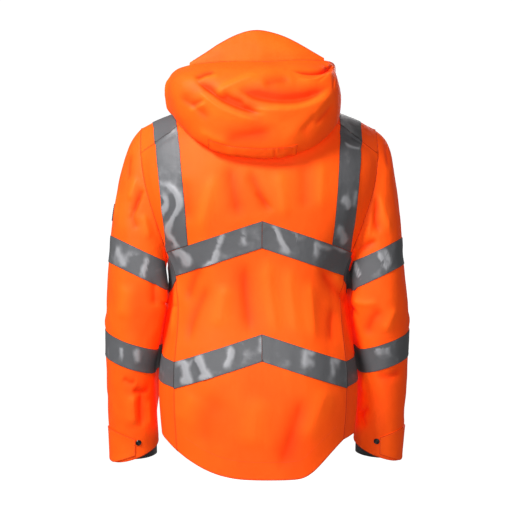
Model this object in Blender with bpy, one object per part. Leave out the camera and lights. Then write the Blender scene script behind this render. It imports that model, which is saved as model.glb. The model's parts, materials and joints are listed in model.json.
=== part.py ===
"""Hi-vis work jacket, in its worn form: rigid stand-ins for cut and sewn cloth.

Metres, +Z up. The front faces -Y and the wearer's left is +X. The origin is the middle of the neck
opening, level with the neck seam at the nape. Every cloth piece is a thin wall over a sheet of
triangles. A sheet is worked out from a short table of sections, and what is sewn on a panel is cut
from that panel's own sheet and moved out along its normals.
"""
from math import pi, radians

import bmesh
import bpy
import numpy as np
from mathutils import Matrix, Vector

# ---------------------------------------------------------------- driving sizes
SHELL = 0.0016            # wall of the laminated shell fabric
TAPE = 0.0009             # reflective tape
TAPE_WIDTH = 0.050
SEAM = 0.0002             # half of the gap between two pieces that are sewn together
ON_TOP = 0.0003           # gap under what lies on a panel
SQUARE = 2.0 / 2.4        # exponent of the body's rounded-square sections
RIDGE = 1.15              # how sharply the shoulder falls away from its ridge

# The body, a row for each section from the hem to the neck. side, back and front are heights there.
BODY_COLUMNS = ("side_z", "half_width", "back_y", "back_z", "front_y", "front_z", "ridge", "seam")
BODY = np.array((
    (-0.684, 0.196, 0.128, -0.766, -0.135, -0.690, 0.0, 55),   # hem, with the dropped tail
    (-0.602, 0.203, 0.140, -0.640, -0.140, -0.605, 0.0, 55),   # skirt
    (-0.520, 0.197, 0.139, -0.545, -0.142, -0.520, 0.3, 57),   # hip
    (-0.425, 0.179, 0.124, -0.432, -0.143, -0.425, 0.6, 61),   # waist
    (-0.340, 0.184, 0.130, -0.342, -0.148, -0.342, 0.8, 63),   # underarm
    (-0.256, 0.226, 0.147, -0.262, -0.150, -0.266, 1.0, 63),   # chest
    (-0.170, 0.251, 0.153, -0.200, -0.143, -0.208, 1.0, 63),   # shoulder blade
    (-0.065, 0.237, 0.146, -0.135, -0.124, -0.155, 1.0, 63),   # shoulder tip
    (-0.034, 0.160, 0.120, -0.052, -0.108, -0.114, 1.0, 66),   # yoke
    (-0.004, 0.082, 0.072, 0.008, -0.086, -0.085, 1.0, 70),    # neck
))
UNDERARM, TIP, NECK = 4.0, 7.0, 9.0        # rows of the table
TAIL_LEFT = 2.5           # the tail's edge rises as this power of its distance from the middle
TAIL_RIGHT = (0.37, 0.96) # on the wearer's right it rises between these shares of the half width
SHOULDER_SEAM = (17.0, 0.6)   # above the tip it runs this many degrees further back, over so many rows

# Soft hollows (-) and swells (+) of the body: middle angle and row, half sizes, depth.
DRAPE_COLUMNS = ("angle", "row", "wide", "long", "depth")
DRAPE = np.array((
    (0, 4.6, 15, 1.9, -0.006),
    (26, 3.3, 12, 1.6, 0.004),
    (-24, 2.6, 13, 1.8, 0.005),
    (40, 1.2, 12, 1.4, -0.004),
    (-46, 3.2, 11, 1.3, -0.004),
    (150, 3.0, 14, 1.6, -0.004),
    (-146, 2.4, 14, 1.9, -0.004),
))

# The armhole is an ellipse in angle and row, so its seam lies on the body.
ARMHOLE_ANGLE, ARMHOLE_ROW = 90.0, 5.5
ARMHOLE_WIDE, ARMHOLE_TALL = 27.0, 1.5
ARMHOLE_REACH = 1.9       # how far round it, in its own size, the cloth's lines give way to it

# The sleeve below its cap, a row for each section: middle, half sizes and slants.
# The hugs say how far its back and front lean against the body.
ARM_COLUMNS = ("x", "y", "z", "across", "deep", "side_slant", "back_slant", "hug_back", "hug_front")
ARM = np.array((
    (0.2495, -0.008, -0.402, 0.0565, 0.076, 0.45, -0.05, 0.022, 0.040),   # upper arm
    (0.2550, -0.016, -0.470, 0.0550, 0.070, 0.38, -0.14, 0.014, 0.050),   # elbow
    (0.2590, -0.028, -0.540, 0.0505, 0.064, 0.28, -0.18, 0.004, 0.034),   # forearm
    (0.2570, -0.044, -0.625, 0.0505, 0.057, 0.05, -0.22, 0.000, 0.028),   # wrist
    (0.2530, -0.058, -0.690, 0.0510, 0.052, -0.20, -0.28, 0.000, 0.006),  # cuff
    (0.2515, -0.064, -0.724, 0.0505, 0.050, -0.34, -0.33, 0.000, 0.000),  # cuff's edge
))
HUG_BACK_AT, HUG_FRONT_AT, HUG_SPREAD = radians(135), radians(238), radians(28)
# How the cap leaves the armhole: outwards, backwards and down, each all round and at the top.
CAP_OUT, CAP_BACK, CAP_DOWN = (0.72, 0.28), -0.20, (0.70, -0.27)
CAP_PULL = 0.42

SLEEVE_DRAPE_FROM = 0.15
# Swells (+) and hollows (-) of a sleeve: its side, middle turn and place along it, half sizes, depth.
SLEEVE_DRAPE = {
    "left": ((90, 2.1, 50, 0.45, -0.003), (70, 3.0, 40, 0.5, 0.003)),
    "right": ((10, 0.14, 60, 0.18, 0.007), (0, 0.80, 60, 0.45, -0.006), (95, 2.2, 50, 0.5, -0.003)),
}

# The hood, a row for each rib round the neck: the row of the body where it folds, how far the fold
# stands out, the middle of the outer layer and the face edge.
HOOD_COLUMNS = ("angle", "fold_row", "fold_out", "mid_x", "mid_y", "mid_z", "edge_x", "edge_y", "edge_z")
HOOD = np.array((
    (0, 6.84, 0.012, 0.000, 0.204, -0.046, 0.000, 0.126, 0.053),
    (15, 6.90, 0.012, 0.050, 0.200, -0.045, 0.042, 0.123, 0.055),
    (30, 7.16, 0.012, 0.102, 0.189, -0.038, 0.091, 0.117, 0.056),
    (45, 7.42, 0.011, 0.146, 0.168, -0.023, 0.137, 0.103, 0.053),
    (60, 7.62, 0.010, 0.168, 0.131, -0.007, 0.162, 0.077, 0.047),
    (75, 7.74, 0.009, 0.172, 0.078, -0.006, 0.168, 0.040, 0.029),
    (90, 7.82, 0.008, 0.170, 0.014, -0.016, 0.161, -0.004, 0.005),
    (110, 8.02, 0.008, 0.150, -0.050, -0.040, 0.136, -0.052, -0.020),
    (130, 8.40, 0.007, 0.102, -0.084, -0.060, 0.094, -0.080, -0.042),
    (146, 8.72, 0.006, 0.062, -0.094, -0.074, 0.058, -0.088, -0.058),
))
HOOD_SIDE, HOOD_TILT = 0.016, 0.011   # it lies towards the wearer's left, and lower there
HOOD_DRAWN = 0.30         # rows by which its bottom fold sits higher on the wearer's right
HOOD_NECK = 8.90          # row of the body where the hood is sewn on, just outside the collar
HOOD_CLEAR = 0.004        # how far its inner layer lies off the body
HOOD_LIFT = (0.030, 0.012)   # how far the fold's curve runs out and down
VISOR_ANGLE = 44.0        # the hood's peak reaches this far to each side
VISOR_HEIGHT, VISOR_LEAN, VISOR_BULGE, VISOR_SIDE = 0.065, -0.020, 0.006, 0.007
# The strip at the hood's bottom fold: half width and its middle, and its edges along the hood.
CASING_WIDE, CASING_SIDE, CASING_FOLD, CASING_TOP = 0.086, 0.020, 1.04, 1.22

COLLAR_HEIGHT, COLLAR_LEAN, COLLAR_WALL, COLLAR_GAP = 0.058, 0.006, 0.0026, 0.0010
CF_HALF = 0.0050          # half of the gap between the front edges, where the zip chain shows

# Zip: half widths, and depths below the shell's outside.
ZIP_TAPE_HALF, ZIP_TAPE_LOW, ZIP_TAPE_HIGH = 0.0105, -0.0052, -0.0042
CHAIN_HALF, CHAIN_LOW, CHAIN_HIGH = 0.0030, -0.0039, 0.0006
SLIDER_CLEAR = 0.0012
SLIDER = (0.0100, 0.0030, 0.0125)    # across, deep and high
SLIDER_UP = 0.80                     # share of the collar's height
LUG_OUT = 0.0030                     # from the slider's face to the tab's pin
LUG_SIZE = (0.0012, 0.0052, 0.0048)
LUG_APART = 0.0023                   # from the middle to each lug's inner face
PIN_RADIUS, EYE_RADIUS, EYE_HOLE = 0.0008, 0.0022, 0.0011
TAB_THICK, TAB_WIDE, TAB_LONG, TAB_NECK = 0.0016, 0.0075, 0.0260, 0.0042

# Reflective tape. Heights at the centre back, and how fast a chevron falls to the side.
CHEVRON_FALL = 0.33
CHEVRON_TOPS = {"upper": -0.259, "lower": -0.480}
# A brace's edges: x at BRACE_LEVEL, and its change with height behind the shoulder and in front.
BRACES = {"left": ((0.166, 0.090, 0.130), (0.214, 0.108, 0.150)),
          "right": ((0.159, 0.075, 0.110), (0.206, 0.100, 0.135))}
BRACE_LEVEL = -0.060
# Bands on the fronts: top at the side, and how it slants behind the side and in front of it.
FRONT_BANDS = {"upper": (-0.355, 0.48, 0.0), "lower": (-0.520, -0.19, -0.05)}
BAND_FROM_SEAM = 0.30     # share of the cap's length that a band keeps from the armhole seam
# Bands on the sleeves: top height on the arm's middle line, slant to the side and to the back.
SLEEVE_BANDS = {"upper": (-0.309, 0.48, 0.00), "lower": (-0.496, 0.33, -0.16)}
ARM_MIDDLE = (0.249, -0.010)

# Inner cuff: how far inside the sleeve, its top and the height and slants of its edge.
CUFF_INSIDE, CUFF_TOP, CUFF_EDGE, CUFF_SIDE, CUFF_BACK = 0.0034, -0.690, -0.7330, -0.05, -0.16
# Cuff strap: its end, its edges' heights there, how they spread towards the outside, its front end.
STRAP_END_X, STRAP_TOP, STRAP_LOW, STRAP_TOP_FALL, STRAP_LOW_FALL = 0.2490, -0.6975, -0.7320, 0.40, -0.36
STRAP_FRONT_Y, STRAP_WALL = -0.088, 0.0016
STUD_AT, STUD_RADIUS, STUD_HEIGHT, STUD_CLEAR = (0.2425, -0.7060), 0.0062, 0.0030, 0.0005
BADGE_TOP, BADGE_LOW, BADGE_BACK, BADGE_FRONT, BADGE_WALL = -0.222, -0.256, 0.018, -0.030, 0.0012

# Numbers of cells. The armhole's sides have the same number as a quarter of a sleeve's ring.
BACK_CELLS, ARMHOLE_CELLS, FRONT_CELLS = 8, 5, 5
LOW_ROWS, TOP_ROWS = 8, 4
CAP_CELLS, ARM_CELLS = 6, 2
HOOD_AROUND, HOOD_INNER, HOOD_OUTER = 26, 4, 6
VISOR_CELLS, COLLAR_CELLS = 14, 18

BLACK = (0.012, 0.012, 0.013)
COLOURS = {
    "shell": ((0.95, 0.11, 0.012), 0.62, 0.0),
    "tape": ((0.16, 0.16, 0.165), 0.42, 0.3),
    "lining": (BLACK, 0.8, 0.0),
    "metal": (BLACK, 0.3, 0.6),
    "zip": (BLACK, 0.5, 0.0),
}


# ---------------------------------------------------------------- curves through tables
def through(table, at):
    """A smooth curve through the rows of a table, at row numbers that need not be whole."""
    at = np.clip(np.asarray(at, float), 0, len(table) - 1)
    row = np.minimum(at.astype(int), len(table) - 2)
    part = (at - row)[..., None]
    before, start = table[np.maximum(row - 1, 0)], table[row]
    end, after = table[row + 1], table[np.minimum(row + 2, len(table) - 1)]
    leave, arrive = (end - before) / 2, (after - start) / 2
    return (start * (1 + 2 * part) * (1 - part) ** 2 + leave * part * (1 - part) ** 2
            + end * part ** 2 * (3 - 2 * part) + arrive * part ** 2 * (part - 1))


def smooth(value):
    value = np.clip(value, 0, 1)
    return value * value * (3 - 2 * value)


def stack(*columns):
    return np.stack(np.broadcast_arrays(*columns), axis=-1)


# ---------------------------------------------------------------- the body's surface
def body(angle, row):
    """A point of the shell's outside. angle is 0 at the centre back and 90 at the wearer's left."""
    angle, row = np.broadcast_arrays(np.asarray(angle, float), np.asarray(row, float))
    side_z, half, back_y, back_z, front_y, front_z, ridge, _ = np.moveaxis(through(BODY, row), -1, 0)
    turn = np.radians(angle)
    sine, cosine = np.sin(turn), np.cos(turn)
    swell = 1 + drape(angle, row) / half
    x = half * swell * np.sign(sine) * np.abs(sine) ** SQUARE
    y = np.where(cosine > 0, back_y, -front_y) * swell * np.sign(cosine) * np.abs(cosine) ** SQUARE
    across = np.abs(sine) ** SQUARE
    start, end = TAIL_RIGHT
    tail = np.where(sine > 0, 1 - across ** TAIL_LEFT, smooth((end - across) / (end - start)))
    fall = (1 - ridge) * tail + ridge * np.abs(cosine) ** RIDGE
    z = side_z + (np.where(cosine > 0, back_z, front_z) - side_z) * fall
    return stack(x, y, z)


def drape(angle, row):
    total = np.zeros(np.shape(angle))
    for middle, level, wide, tall, depth in DRAPE:
        away = ((angle - middle + 180) % 360 - 180) / wide
        total = total + depth * np.exp(-away ** 2 - ((row - level) / tall) ** 2)
    return total


def give_way(angle, row):
    """Moves the body's lines so that a square of cells fits the armhole's ellipse."""
    side = np.where(angle < 0, -1.0, 1.0)
    across = (np.abs(angle) - ARMHOLE_ANGLE) / ARMHOLE_WIDE
    along = (row - ARMHOLE_ROW) / ARMHOLE_TALL
    far = np.maximum(np.abs(across), np.abs(along))
    round_far = np.maximum(np.hypot(across, along), 1e-9)
    share = np.clip((ARMHOLE_REACH - far) / (ARMHOLE_REACH - 1), 0, 1)
    scale = 1 - share + share * far / round_far
    return side * (ARMHOLE_ANGLE + across * scale * ARMHOLE_WIDE), ARMHOLE_ROW + along * scale * ARMHOLE_TALL


def even_ring(cells):
    """Places along a side of the armhole's square that are evenly spaced on its ellipse."""
    return np.tan(pi / 4 * (2 * np.arange(cells + 1) / cells - 1))


def body_rows():
    low = np.linspace(0, UNDERARM, LOW_ROWS + 1)[:-1]
    hole = ARMHOLE_ROW + ARMHOLE_TALL * even_ring(ARMHOLE_CELLS)
    top = np.linspace(TIP, NECK, TOP_ROWS + 1)[1:]
    return np.concatenate((low, hole, top))


# ---------------------------------------------------------------- the sleeve's surface, wearer's left
def arm_ring(turn, row):
    x, y, z, across, deep, side_slant, back_slant, hug_back, hug_front = np.moveaxis(through(ARM, row), -1, 0)
    turn = turn % (2 * pi)
    out, back = across * np.cos(turn), deep * np.sin(turn)
    hug = (hug_back * np.exp(-((turn - HUG_BACK_AT) / HUG_SPREAD) ** 2)
           + hug_front * np.exp(-((turn - HUG_FRONT_AT) / HUG_SPREAD) ** 2))
    return stack(x + out - hug, y + back, z + side_slant * out + back_slant * back)


def armhole(turn):
    """The angle and row on the body of a point of the armhole seam."""
    return ARMHOLE_ANGLE - ARMHOLE_WIDE * np.sin(turn), ARMHOLE_ROW + ARMHOLE_TALL * np.cos(turn)


def sleeve(turn, along):
    """turn is 0 on the outside and 90 degrees at the back; along is 0 to 1 on the cap, then rows of ARM."""
    turn, along = np.broadcast_arrays(np.radians(turn), np.asarray(along, float))
    start = body(*armhole(turn))
    end = arm_ring(turn, np.zeros_like(along))
    length = np.linalg.norm(end - start, axis=-1, keepdims=True)
    leave = stack(CAP_OUT[0] + CAP_OUT[1] * np.cos(turn), CAP_BACK * np.sin(turn),
                  -CAP_DOWN[0] - CAP_DOWN[1] * np.cos(turn))
    arrive = arm_ring(turn, np.ones_like(along)) - end
    arrive = arrive / np.linalg.norm(arrive, axis=-1, keepdims=True)
    s = np.clip(along, 0, 1)[..., None]
    cap = (start * (1 + 2 * s) * (1 - s) ** 2 + leave * length * CAP_PULL * s * (1 - s) ** 2
           + end * s ** 2 * (3 - 2 * s) + arrive * length * s ** 2 * (s - 1))
    return np.where(along[..., None] < 1, cap, arm_ring(turn, np.maximum(along - 1, 0)))


# ---------------------------------------------------------------- the hood, the peak and the collar
def hood_ribs(angle):
    """The hood's table at any angle, mirrored for the wearer's right."""
    size = np.abs(angle)
    at = np.interp(size, HOOD[:, 0], np.arange(len(HOOD)))
    row = through(HOOD, at)
    mirror = np.sign(angle)
    aside = HOOD_SIDE * np.sin(np.radians(angle)) ** 2
    mid = stack(row[..., 3] * mirror + aside, row[..., 4], row[..., 5])
    tilt = HOOD_TILT * np.sin(np.radians(angle)) * np.abs(np.sin(np.radians(angle)))
    edge = stack(row[..., 6] * mirror + aside, row[..., 7], row[..., 8] - tilt)
    drawn = HOOD_DRAWN * np.clip(-np.sin(np.radians(angle)), 0, 1) ** 2
    return row[..., 1] + drawn, row[..., 2], mid, edge


def body_normal(angle, row):
    return -normals_of(body, angle, row)


def hood(angle, along):
    """along is 0 at the neck, 1 at the bottom fold and 2 at the face edge."""
    angle, along = np.broadcast_arrays(np.asarray(angle, float), np.asarray(along, float))
    fold_row, fold_out, mid, edge = hood_ribs(angle)
    inner = np.clip(along, 0, 1)
    row = HOOD_NECK + (fold_row - HOOD_NECK) * inner
    out = body_normal(angle, row)
    lies = body(angle, row) + out * (HOOD_CLEAR + (fold_out - HOOD_CLEAR) * inner ** 3)[..., None]
    down = stack(0.0, 0.0, -np.cos(np.radians(angle / 2)))
    first = lies + out * HOOD_LIFT[0] + down * HOOD_LIFT[1]
    second = (mid - 0.125 * lies - 0.375 * first - 0.125 * edge) / 0.375
    u = np.clip(along - 1, 0, 1)[..., None]
    outer = (lies * (1 - u) ** 3 + 3 * first * u * (1 - u) ** 2
             + 3 * second * u ** 2 * (1 - u) + edge * u ** 3)
    return np.where(along[..., None] < 1, lies, outer)


def visor(angle, up):
    angle, up = np.broadcast_arrays(np.asarray(angle, float), np.asarray(up, float))
    edge = hood(angle, 2.0)
    rise = 0.06 + 0.94 * np.cos(np.radians(np.clip(np.abs(angle) / VISOR_ANGLE, 0, 1) * 90)) ** 1.3
    lift = VISOR_HEIGHT * rise * up
    back = (VISOR_LEAN * up + VISOR_BULGE * np.sin(pi * up)) * rise
    return edge + stack(VISOR_SIDE * rise * up, back, lift)


def collar(angle, up):
    angle, up = np.broadcast_arrays(np.asarray(angle, float), np.asarray(up, float))
    base = body(angle, NECK)
    inward = -base * np.array((1.0, 1.0, 0.0))
    inward = inward / np.linalg.norm(inward, axis=-1, keepdims=True)
    return base + inward * (COLLAR_LEAN * up)[..., None] + stack(0.0, 0.0, COLLAR_HEIGHT * up)


# ---------------------------------------------------------------- sheets of triangles
def normals_of(surface, u, v):
    step_u, step_v = 0.4, 0.004
    along_u = surface(u + step_u, v) - surface(u - step_u, v)
    low, high = v - step_v, v + step_v
    along_v = surface(u, high) - surface(u, low)
    cross = np.cross(along_u, along_v)
    return cross / np.maximum(np.linalg.norm(cross, axis=-1, keepdims=True), 1e-12)


class Sheet:
    """A sheet of triangles with a normal and two surface coordinates at each point."""

    def __init__(self, points, normals, places, faces):
        self.points, self.normals, self.places, self.faces = points, normals, places, faces

    @classmethod
    def grid(cls, surface, u, v, flip=False, closed=False, hole=None):
        """surface at a grid of u and v; hole(i, j) says which cells are left out."""
        rows, columns = u.shape
        points = surface(u, v).reshape(-1, 3)
        normals = normals_of(surface, u, v).reshape(-1, 3) * (-1 if flip else 1)
        places = np.stack((u, v), axis=-1).reshape(-1, 2)
        faces = []
        for i in range(rows - 1):
            for j in range(columns if closed else columns - 1):
                if hole and hole(i, j):
                    continue
                after = (j + 1) % columns
                a, b = i * columns + j, i * columns + after
                c, d = b + columns, a + columns
                faces += [(a, b, c), (a, c, d)]
        if flip:
            faces = [face[::-1] for face in faces]
        return cls(points, normals, places, faces).used()

    def used(self):
        keep = sorted({index for face in self.faces for index in face})
        new = {old: count for count, old in enumerate(keep)}
        faces = [tuple(new[index] for index in face) for face in self.faces]
        return Sheet(self.points[keep], self.normals[keep], self.places[keep], faces)

    def rim(self):
        """Border edges, each in its face's direction."""
        edges = {}
        for face in self.faces:
            for start, end in zip(face, face[1:] + face[:1]):
                edges[start, end] = True
        return [edge for edge in edges if edge[::-1] not in edges]

    def pulled_in(self, gap=SEAM):
        """Every border point moves inwards on the sheet, which leaves the gap of a seam."""
        ways = {}
        for start, end in self.rim():
            line = self.points[end] - self.points[start]
            for index in (start, end):
                way = np.cross(self.normals[index], line)
                ways.setdefault(index, []).append(way / max(np.linalg.norm(way), 1e-12))
        points = self.points.copy()
        for index, found in ways.items():
            middle = sum(found)
            points[index] += middle * gap / max(1 + float(np.dot(found[0], found[-1])), 0.5)
        return Sheet(points, self.normals, self.places, self.faces)

    def cut(self, inside):
        """What is left where inside(points, places) is above 0, cut straight across the triangles."""
        level = inside(self.points, self.places)
        level = np.where(np.abs(level) < 1e-4, 0.0, level)
        rows, made, faces = [], {}, []

        def corner(key, row):
            if key not in made:
                made[key] = len(rows)
                rows.append(row)
            return made[key]

        data = np.hstack((self.points, self.normals, self.places))
        for face in self.faces:
            if max(level[index] for index in face) <= 0:
                continue
            outline = []
            for start, end in zip(face, face[1:] + face[:1]):
                if level[start] >= 0:
                    outline.append(corner(start, data[start]))
                if level[start] * level[end] < 0:
                    low, high = sorted((start, end))
                    share = level[low] / (level[low] - level[high])
                    outline.append(corner((low, high), data[low] + (data[high] - data[low]) * share))
            faces += [(outline[0], outline[k], outline[k + 1]) for k in range(1, len(outline) - 1)]
        data = np.array(rows)
        return Sheet(data[:, :3], data[:, 3:6], data[:, 6:], faces)

    def mirrored(self):
        flip = np.array((-1.0, 1.0, 1.0))
        faces = [face[::-1] for face in self.faces]
        return Sheet(self.points * flip, self.normals * flip, self.places, faces)


def wall(name, sheet, low, high, colour):
    """A closed wall between two offsets from a sheet."""
    count = len(sheet.points)
    points = np.vstack((sheet.points + sheet.normals * high, sheet.points + sheet.normals * low))
    faces = list(sheet.faces)
    faces += [tuple(index + count for index in face[::-1]) for face in sheet.faces]
    faces += [(end, start, start + count, end + count) for start, end in sheet.rim()]
    mesh = bpy.data.meshes.new(name)
    mesh.from_pydata([tuple(map(float, point)) for point in points], [], faces)
    return place(name, mesh, colour)


def place(name, mesh, colour):
    mesh.materials.append(material(colour))
    mesh.shade_smooth()
    thing = bpy.data.objects.new(name, mesh)
    bpy.context.collection.objects.link(thing)
    return thing


def material(name):
    found = bpy.data.materials.get(name)
    if found:
        return found
    colour, roughness, metallic = COLOURS[name]
    made = bpy.data.materials.new(name)
    made.use_nodes = True
    shader = made.node_tree.nodes["Principled BSDF"]
    shader.inputs["Base Color"].default_value = (*colour, 1)
    shader.inputs["Roughness"].default_value = roughness
    shader.inputs["Metallic"].default_value = metallic
    made.diffuse_color = (*colour, 1)
    return made


# ---------------------------------------------------------------- panels
def body_grid(first, last):
    """Angles and rows of the body's cells between two columns, counted from the centre back."""
    rows = body_rows()
    sections = through(BODY, rows)
    seam = sections[:, BODY_COLUMNS.index("seam")] - SHOULDER_SEAM[0] * smooth((rows - TIP) / SHOULDER_SEAM[1])
    seam = seam[:, None]
    half = sections[:, BODY_COLUMNS.index("half_width")][:, None]
    count = np.arange(first, last + 1)[None, :]
    size = np.abs(count)
    back = seam * np.minimum(size, BACK_CELLS) / BACK_CELLS
    inside = np.clip(size - BACK_CELLS, 0, ARMHOLE_CELLS)
    side = (ARMHOLE_ANGLE - seam) * (even_ring(ARMHOLE_CELLS)[inside] + 1)
    after = np.clip(size - BACK_CELLS - ARMHOLE_CELLS, 0, FRONT_CELLS) / FRONT_CELLS
    front = (front_edge(half) - (180 - seam)) * after
    angle = np.sign(count) * (back + side + front)
    return give_way(angle, np.broadcast_to(rows[:, None], angle.shape))


def front_edge(half):
    """The angle at which the body is CF_HALF from its middle."""
    return 180 - np.degrees(np.arcsin((CF_HALF / half) ** (1 / SQUARE)))


def panels():
    last = BACK_CELLS + ARMHOLE_CELLS + FRONT_CELLS
    hole = range(LOW_ROWS, LOW_ROWS + ARMHOLE_CELLS)

    def left_hole(i, j):
        return i in hole and j < ARMHOLE_CELLS

    def right_hole(i, j):
        return i in hole and j >= FRONT_CELLS

    grids = {"back": (-BACK_CELLS, BACK_CELLS, None), "front_left": (BACK_CELLS, last, left_hole),
             "front_right": (-last, -BACK_CELLS, right_hole)}
    return {name: Sheet.grid(body, *body_grid(first, end), flip=True, hole=hole_of).pulled_in()
            for name, (first, end, hole_of) in grids.items()}


def ring_turns():
    """Where the lines down a sleeve start: at the armhole's corners and evenly between them."""
    return 45 + np.arange(0, 360, 90 / ARMHOLE_CELLS)


def sleeve_sheets():
    cap = np.linspace(0, 1, CAP_CELLS + 1)[:-1]
    lower = 1 + np.linspace(0, len(ARM) - 1, ARM_CELLS * (len(ARM) - 1) + 1)
    turn, along = np.meshgrid(ring_turns(), np.concatenate((cap, lower)))
    left = Sheet.grid(sleeve, turn, along, flip=True, closed=True)
    seam = left.places[:, 1] == 0          # over the shoulder both walls stand along the body's normals
    own, shared = left.normals[seam], body_normal(*armhole(np.radians(left.places[seam, 0])))
    share = np.clip(np.sum(own * shared, axis=1, keepdims=True), 0, 1) ** 0.5
    blend = own * (1 - share) + shared * share
    left.normals[seam] = blend / np.linalg.norm(blend, axis=1, keepdims=True)
    left = left.pulled_in()
    return {"left": draped(left, "left"), "right": draped(left, "right").mirrored()}


def draped(sheet, side):
    """The sheet with a sleeve's soft swells and hollows, which die out at the armhole seam."""
    turn, along = sheet.places.T
    out = np.zeros(len(turn))
    for middle, level, wide, tall, depth in SLEEVE_DRAPE[side]:
        away = ((turn - middle + 180) % 360 - 180) / wide
        out += depth * np.exp(-away ** 2 - ((along - level) / tall) ** 2)
    out *= smooth(along / SLEEVE_DRAPE_FROM)
    return Sheet(sheet.points + sheet.normals * out[:, None], sheet.normals, sheet.places, sheet.faces)


def hood_sheets():
    end = HOOD[-1, 0]
    inner = np.linspace(0, 1, HOOD_INNER + 1)[:-1]
    outer = np.linspace(1, 2, HOOD_OUTER + 1)
    angle, along = np.meshgrid(np.linspace(-end, end, HOOD_AROUND + 1), np.concatenate((inner, outer)))
    whole = Sheet.grid(hood, angle, along, flip=True).pulled_in()
    angle, up = np.meshgrid(np.linspace(-VISOR_ANGLE, VISOR_ANGLE, VISOR_CELLS + 1), np.linspace(0, 1, 5))
    return whole, Sheet.grid(visor, angle, up, flip=True).pulled_in()


def collar_sheet():
    end = float(front_edge(BODY[-1, BODY_COLUMNS.index("half_width")]))
    angle, up = np.meshgrid(np.linspace(-end, end, COLLAR_CELLS + 1), np.linspace(0, 1, 4))
    return Sheet.grid(collar, angle, up, flip=True).pulled_in(COLLAR_GAP)


# ---------------------------------------------------------------- tape, cut from the panels' own sheets
def between(sheet, top, low):
    """What lies between two heights, each a function of a point's x and y."""
    kept = sheet.cut(lambda p, _: top(p[:, 0], p[:, 1]) - p[:, 2])
    return kept.cut(lambda p, _: p[:, 2] - low(p[:, 0], p[:, 1]))


def tape(name, sheet):
    wall(name, sheet, ON_TOP, ON_TOP + TAPE, "tape")


def chevron(top):
    """Heights of a chevron's edges."""
    drop = TAPE_WIDTH * np.hypot(1, CHEVRON_FALL)
    return (lambda x, y: top - CHEVRON_FALL * np.abs(x),
            lambda x, y: top - drop - CHEVRON_FALL * np.abs(x))


def front_band(top, behind, before):
    def edge(level):
        return lambda x, y: level + np.where(y > 0, behind, before) * y
    return edge(top), edge(top - TAPE_WIDTH)


def sleeve_band(top, side, back):
    drop = TAPE_WIDTH * np.sqrt(1 + side ** 2 + back ** 2)
    x0, y0 = ARM_MIDDLE

    def edge(level):
        return lambda x, y: level + side * (np.abs(x) - x0) + back * (y - y0)
    return edge(top), edge(top - drop)


def brace(sheet, side, name):
    """The part of a panel under a brace."""
    def reach(points, edge):
        start, behind, before = edge
        change = np.where(points[:, 1] > 0, behind, before)
        return points[:, 0] * side - start - change * (points[:, 2] - BRACE_LEVEL)
    inner, outer = BRACES[name]
    return sheet.cut(lambda p, _: reach(p, inner)).cut(lambda p, _: -reach(p, outer))


def add_tapes(sheets, arms):
    upper_top, _ = chevron(CHEVRON_TOPS["upper"])
    for side, name in ((1, "left"), (-1, "right")):
        half = sheets["back"].cut(lambda p, _: side * p[:, 0] - SEAM)
        for level, top in CHEVRON_TOPS.items():
            tape(f"chevron_{level}_{name}", between(half, *chevron(top)))
        strip = brace(sheets["back"], side, name)
        above = strip.cut(lambda p, _: p[:, 2] - upper_top(p[:, 0], 0) - 2 * SEAM)
        tape(f"brace_back_{name}", above)
        front = sheets[f"front_{name}"]
        for level, band in FRONT_BANDS.items():
            tape(f"band_{level}_{name}", between(front, *front_band(*band)))
        band_top, _ = front_band(*FRONT_BANDS["upper"])
        strip = brace(front, side, name).cut(lambda p, _: p[:, 2] - band_top(0, p[:, 1]) - 2 * SEAM)
        tape(f"brace_front_{name}", strip.cut(lambda p, w: np.maximum(w[:, 1] - ARMHOLE_ROW, -p[:, 1])))
        for level, band in SLEEVE_BANDS.items():
            clear = arms[name].cut(lambda p, w: w[:, 1] - BAND_FROM_SEAM)
            tape(f"sleeve_band_{level}_{name}", between(clear, *sleeve_band(*band)))


# ---------------------------------------------------------------- cuffs, strap, studs and patch
def add_cuffs(arms):
    for side, name in ((1, "left"), (-1, "right")):
        sheet = arms[name]
        top = sheet.cut(lambda p, _: STRAP_TOP + STRAP_TOP_FALL * (side * p[:, 0] - STRAP_END_X) - p[:, 2])
        low = top.cut(lambda p, _: p[:, 2] - STRAP_LOW - STRAP_LOW_FALL * (side * p[:, 0] - STRAP_END_X))
        strap = low.cut(lambda p, _: side * p[:, 0] - STRAP_END_X).cut(lambda p, _: p[:, 1] - STRAP_FRONT_Y)
        wall(f"cuff_strap_{name}", strap, ON_TOP, ON_TOP + STRAP_WALL, "shell")
        wall(f"cuff_inner_{name}", inner_cuff(side), -SHELL, 0, "lining")
        add_stud(f"stud_{name}", side)


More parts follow.
